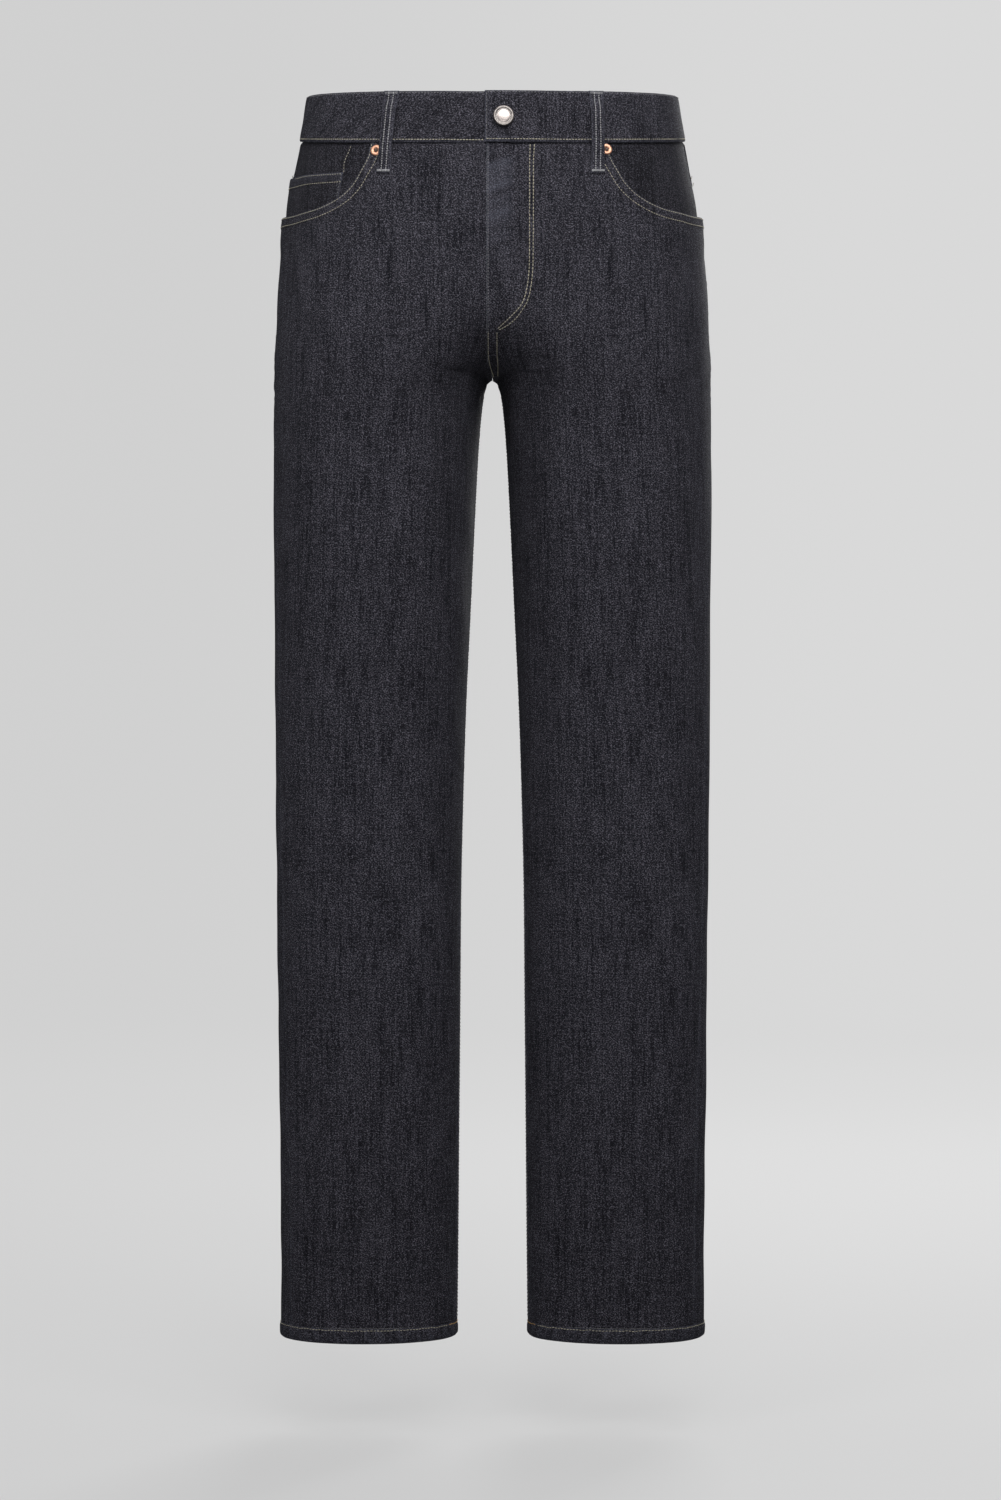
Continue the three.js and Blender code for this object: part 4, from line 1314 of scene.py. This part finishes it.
def sew_loops(rows, tacks):
    """Two rows along each loop, and a bar tack of stitches side by side at each end."""
    for _, *where, side in LOOPS:
        down = np.linspace(LOOP_TOP + 1, LOOP_END - 1, 60)
        for offset in (-LOOP_ROW, LOOP_ROW):
            round_ = loop_middle(down, *where) + offset
            rows.row("loop", down, round_, side, loop_lift(down) - 0.25, relief=False)
        for seam, down in (("loop_foot", LOOP_END - 2.2), ("loop_top", LOOP_TOP + 1.6)):
            leg = np.linspace(down - 1.1, down + 1.1, 3)
            for k in range(-6, 7):
                round_ = loop_middle(down, *where) + k * 0.82
                tacks.row(seam, leg, round_, side, loop_lift(down) - 0.05, relief=False)


def tack_pockets(tacks):
    """A bar tack at each back pocket's upper corners."""
    for side, _ in SIDES:
        for end in (-0.985, 0.985):
            across = np.array([end - 0.018, end, end + 0.018]) - 0.02 * np.sign(end)
            for k in range(9):
                place_ = pocket_place(across, (1.0 + k * 0.8) / POCKET_DEPTH)
                tacks.row("pocket_tack", *place_, side, POCKET_LIFT + 0.35)


# ---- turned metal: (radius, height) pairs from the foot round the rim to the middle ----
TURN_STEPS = 64
BUTTON_PROFILE = [
    (3.4, 0.0), (3.4, 0.9), (7.0, 0.9), (8.3, 1.3), (8.65, 2.1), (8.3, 3.0), (7.5, 3.35),
    (6.7, 3.2), (6.3, 2.75), (5.6, 2.6), (5.2, 2.85), (4.4, 3.15), (2.6, 3.4), (0.9, 3.5),
    (0.05, 3.5),
]
BUTTON_DISH, BUTTON_RIM = 5.0, 7.7  # radii between which the speckled ring lies
RIVET_PROFILE = [
    (4.4, 0.0), (4.65, 0.3), (4.4, 0.8), (3.7, 1.15), (2.7, 1.2), (2.0, 0.95), (1.7, 0.6),
    (1.5, 0.6), (1.4, 1.1), (1.0, 1.4), (0.4, 1.5), (0.02, 1.5),
]
RIVET_PIN = 1.62  # radius of the dark pin in its middle


def rounded(profile, passes=2):
    """A profile with its corners softened."""
    points = np.array(profile, float)
    for _ in range(passes):
        quarter = mix(points[:-1], points[1:], 0.25)
        most = mix(points[:-1], points[1:], 0.75)
        inner = np.stack([quarter, most], axis=1).reshape(-1, 2)
        points = np.vstack([points[:1], inner, points[-1:]])
    return points


def turned(name, node_name, slot, profile, point, normal, materials, bands):
    """A turned part standing on the cloth. bands gives each profile step's material."""
    across = np.cross(normal, (0, 0, 1))
    across /= np.linalg.norm(across)
    up = np.cross(across, normal)
    turn = 2 * math.pi * np.arange(TURN_STEPS) / TURN_STEPS
    circle = np.cos(turn)[:, None] * across + np.sin(turn)[:, None] * up
    vertices = np.vstack([point + normal * height + radius * circle for radius, height in profile])
    last = (len(profile) - 1) * TURN_STEPS
    faces = tube_faces(len(profile), TURN_STEPS)
    faces.append(range(TURN_STEPS)[::-1])
    faces.append(range(last, last + TURN_STEPS))
    which = np.concatenate([np.repeat(bands, TURN_STEPS), [bands[0], bands[-1]]])
    mesh = bpy.data.meshes.new(name)
    mesh.from_pydata((vertices * MM).tolist(), [], [list(face) for face in faces])
    obj = new_object(name, mesh, materials)
    mesh.polygons.foreach_set("material_index", which.astype(np.int32))
    mesh.shade_smooth()
    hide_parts(node_name)
    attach(obj, "root")


def make_button():
    profile = rounded(BUTTON_PROFILE)
    radii = profile[1:, 0]
    bands = (radii >= BUTTON_DISH).astype(int) + (radii >= BUTTON_RIM)
    point, normal = surface(-19.0, 9.0)
    point = point + normal * (BAND_STAND + BAND_LAP + 0.3)
    turned(
        "button_dome", "button", "button_metal", profile, point, normal,
        (nickel, nickel_ring, nickel_rim), bands,
    )


def make_rivets():
    profile = rounded(RIVET_PROFILE)
    bands = (profile[1:, 0] <= RIVET_PIN).astype(int)
    for name, down, round_, side in (("rivet_left", 6, 94, 1), ("rivet_right", 7, 95.5, -1)):
        point, normal = surface(down, round_, side)
        lift = RIDGE + 0.2 + float(body_relief(np.array(down), np.array(round_), side))
        turned(
            f"{name}_cap", name, "rivet_metal", profile, point + normal * lift, normal,
            (copper, brass_dark), bands,
        )


# ---- build everything ----
def make_pair(make, piece):
    for side, hand in SIDES:
        make(side, f"{piece}_{hand}")


make_pair(make_front, "front")
make_pair(make_back, "back")
make_pair(make_yoke, "yoke")
make_waistband()
make_pair(make_facing, "pocket_facing")
make_coin_pocket()
make_pair(make_back_pocket, "back_pocket")
for loop in LOOPS:
    make_loop(*loop)
make_pair(make_hem, "hem")
make_button()
make_rivets()

THREADS = {
    "stitches_front": thread_pale,
    "stitches_edges": thread_worn,
    "stitches_band": thread_pale,
    "stitches_back": thread_pale,
    "stitches_legs": thread_worn,
    "stitches_hems": thread_pale,
    "stitches_inseam_ends": thread_gold,
    "stitches_loops": thread_white,
    "bar_tacks": thread_white,
}
sewn = {name: Stitching(name, thread) for name, thread in THREADS.items()}
sew_fly(sewn["stitches_front"], sewn["stitches_edges"])
sew_mouths(sewn["stitches_front"])
sew_coin_pocket(sewn["stitches_front"], sewn["stitches_edges"])
sew_band(sewn["stitches_band"], sewn["stitches_edges"])
sew_back(sewn["stitches_back"])
sew_legs(sewn["stitches_legs"], sewn["stitches_hems"], sewn["stitches_inseam_ends"])
sew_loops(sewn["stitches_loops"], sewn["bar_tacks"])
tack_pockets(sewn["bar_tacks"])
for stitching in sewn.values():
    stitching.make()

# ---- studio, in metres ----
FLOOR_Z = -1.10
FLOOR_RADIUS, CURVE_RADIUS, WALL_TOP = 4.8, 2.4, 5.0
CURVE_STEPS, FLOOR_STEPS = 16, 96
PAPER = 0.20  # reflectance near the garment
FAR_PAPER = 0.02
NEAR_GLOW, FAR_GLOW = 0.45, 0.66  # the paper's own light, even behind the garment
GLOW_LEAN = 0.03  # it is a little stronger towards +X


def studio_floor():
    """A round floor that curves up into a low wall, so no edge shows from any side."""
    profile = [(0.02, 0.0), (1.5, 0.0), (3.5, 0.0), (FLOOR_RADIUS, 0.0)]
    for angle in np.linspace(0, math.pi / 2, CURVE_STEPS + 1)[1:]:
        out, rise = CURVE_RADIUS * math.sin(angle), CURVE_RADIUS * (1 - math.cos(angle))
        profile.append((FLOOR_RADIUS + out, rise))
    profile.append((FLOOR_RADIUS + CURVE_RADIUS, WALL_TOP))
    vertices = []
    for radius, height in profile:
        for angle in 2 * math.pi * np.arange(FLOOR_STEPS) / FLOOR_STEPS:
            vertices.append((radius * math.cos(angle), radius * math.sin(angle), FLOOR_Z + height))
    faces = tube_faces(len(profile), FLOOR_STEPS)
    faces.append(range(FLOOR_STEPS)[::-1])
    mesh = bpy.data.meshes.new("studio_floor")
    mesh.from_pydata(vertices, [], [list(face) for face in faces])
    mesh.shade_smooth()
    return mesh


def paper_material():
    """White paper, darker and with more light of its own away from the garment."""
    made = Material("studio_paper")
    place_ = made.object_place()
    level = made.node("VectorMath", {"operation": "MULTIPLY"}, _0=place_, _1=(1, 1, 0)).outputs[0]
    distance = made.node("VectorMath", {"operation": "LENGTH"}, _0=level).outputs["Value"]
    sideways = made.node("SeparateXYZ", Vector=place_).outputs[0]
    curved = {"interpolation_type": "SMOOTHSTEP"}
    away = made.node("MapRange", curved, Value=distance, From_Min=0.5, From_Max=3.0).outputs[0]
    lean = made.node(
        "MapRange", curved, Value=sideways, From_Min=-1.2, From_Max=1.2, To_Min=-GLOW_LEAN,
        To_Max=GLOW_LEAN,
    ).outputs[0]
    glow = made.maths("MULTIPLY_ADD", away, FAR_GLOW - NEAR_GLOW, NEAR_GLOW)
    return made.finish(
        made.blend(away, [PAPER] * 3, [FAR_PAPER] * 3), 0.9, Specular_IOR_Level=0.0,
        Emission_Color=(1, 1, 1, 1), Emission_Strength=made.maths("ADD", glow, lean),
    )


def make_studio():
    floor = new_object("studio_floor", studio_floor(), (paper_material(),))
    floor.visible_diffuse = False
    floor.visible_glossy = False


# Lights: name, place, aim, width and height, watts, spread in degrees.
LIGHTS = (
    ("key", (0.3, -2.3, 1.5), (0, 0, 0.2), (1.4, 1.4), 9.4, 80),
    ("front_left", (-1.7, -2.0, 1.3), (0, 0, 0.2), (1.0, 1.4), 3.8, 80),
    ("front_right", (1.7, -2.0, 1.3), (0, 0, 0.2), (1.0, 1.4), 3.8, 80),
    ("bounce", (0, -2.0, -0.9), (0, 0, 0.1), (1.6, 0.8), 2.6, 80),
    ("top", (0, -0.2, 1.7), (0, -0.1, -1), (1.8, 1.8), 21, 180),
    ("left", (-3.2, 0.2, 0.6), (0, 0, -0.5), (1.6, 1.6), 3, 180),
    ("right", (3.2, 0.2, 0.6), (0, 0, -0.5), (1.6, 1.6), 3, 180),
    ("back", (0.8, 2.8, 0.9), (0, 0, -0.4), (1.6, 1.6), 90, 180),
)


SKY, SKY_STRENGTH = (0.95, 0.96, 1.0, 1), 0.16
CAMERA_PLACE, CAMERA_LENS, CAMERA_SENSOR = (0.0068, -2.8, -0.527), 79.06, 36


def make_lighting():
    for name, place_, aim, size, power, spread in LIGHTS:
        light = bpy.data.lights.new(name, "AREA")
        light.shape = "RECTANGLE"
        light.size, light.size_y = size
        light.energy = power
        light.spread = math.radians(spread)
        obj = bpy.data.objects.new(name, light)
        obj.location = place_
        direction = Vector(aim) - Vector(place_)
        obj.rotation_euler = direction.to_track_quat("-Z", "Y").to_euler()
        bpy.context.scene.collection.objects.link(obj)
    world = bpy.data.worlds.new("studio")
    bpy.context.scene.world = world
    world.use_nodes = True
    background = world.node_tree.nodes["Background"]
    background.inputs["Color"].default_value = SKY
    background.inputs["Strength"].default_value = SKY_STRENGTH
    bpy.context.scene.view_settings.view_transform = "Standard"


def make_camera():
    data = bpy.data.cameras.new("camera")
    data.lens = CAMERA_LENS
    data.sensor_width = CAMERA_SENSOR
    data.clip_end = 50
    camera = bpy.data.objects.new("camera", data)
    camera.location = CAMERA_PLACE
    camera.rotation_euler = (math.pi / 2, 0, 0)
    bpy.context.scene.collection.objects.link(camera)
    bpy.context.scene.camera = camera


make_studio()
make_lighting()
make_camera()
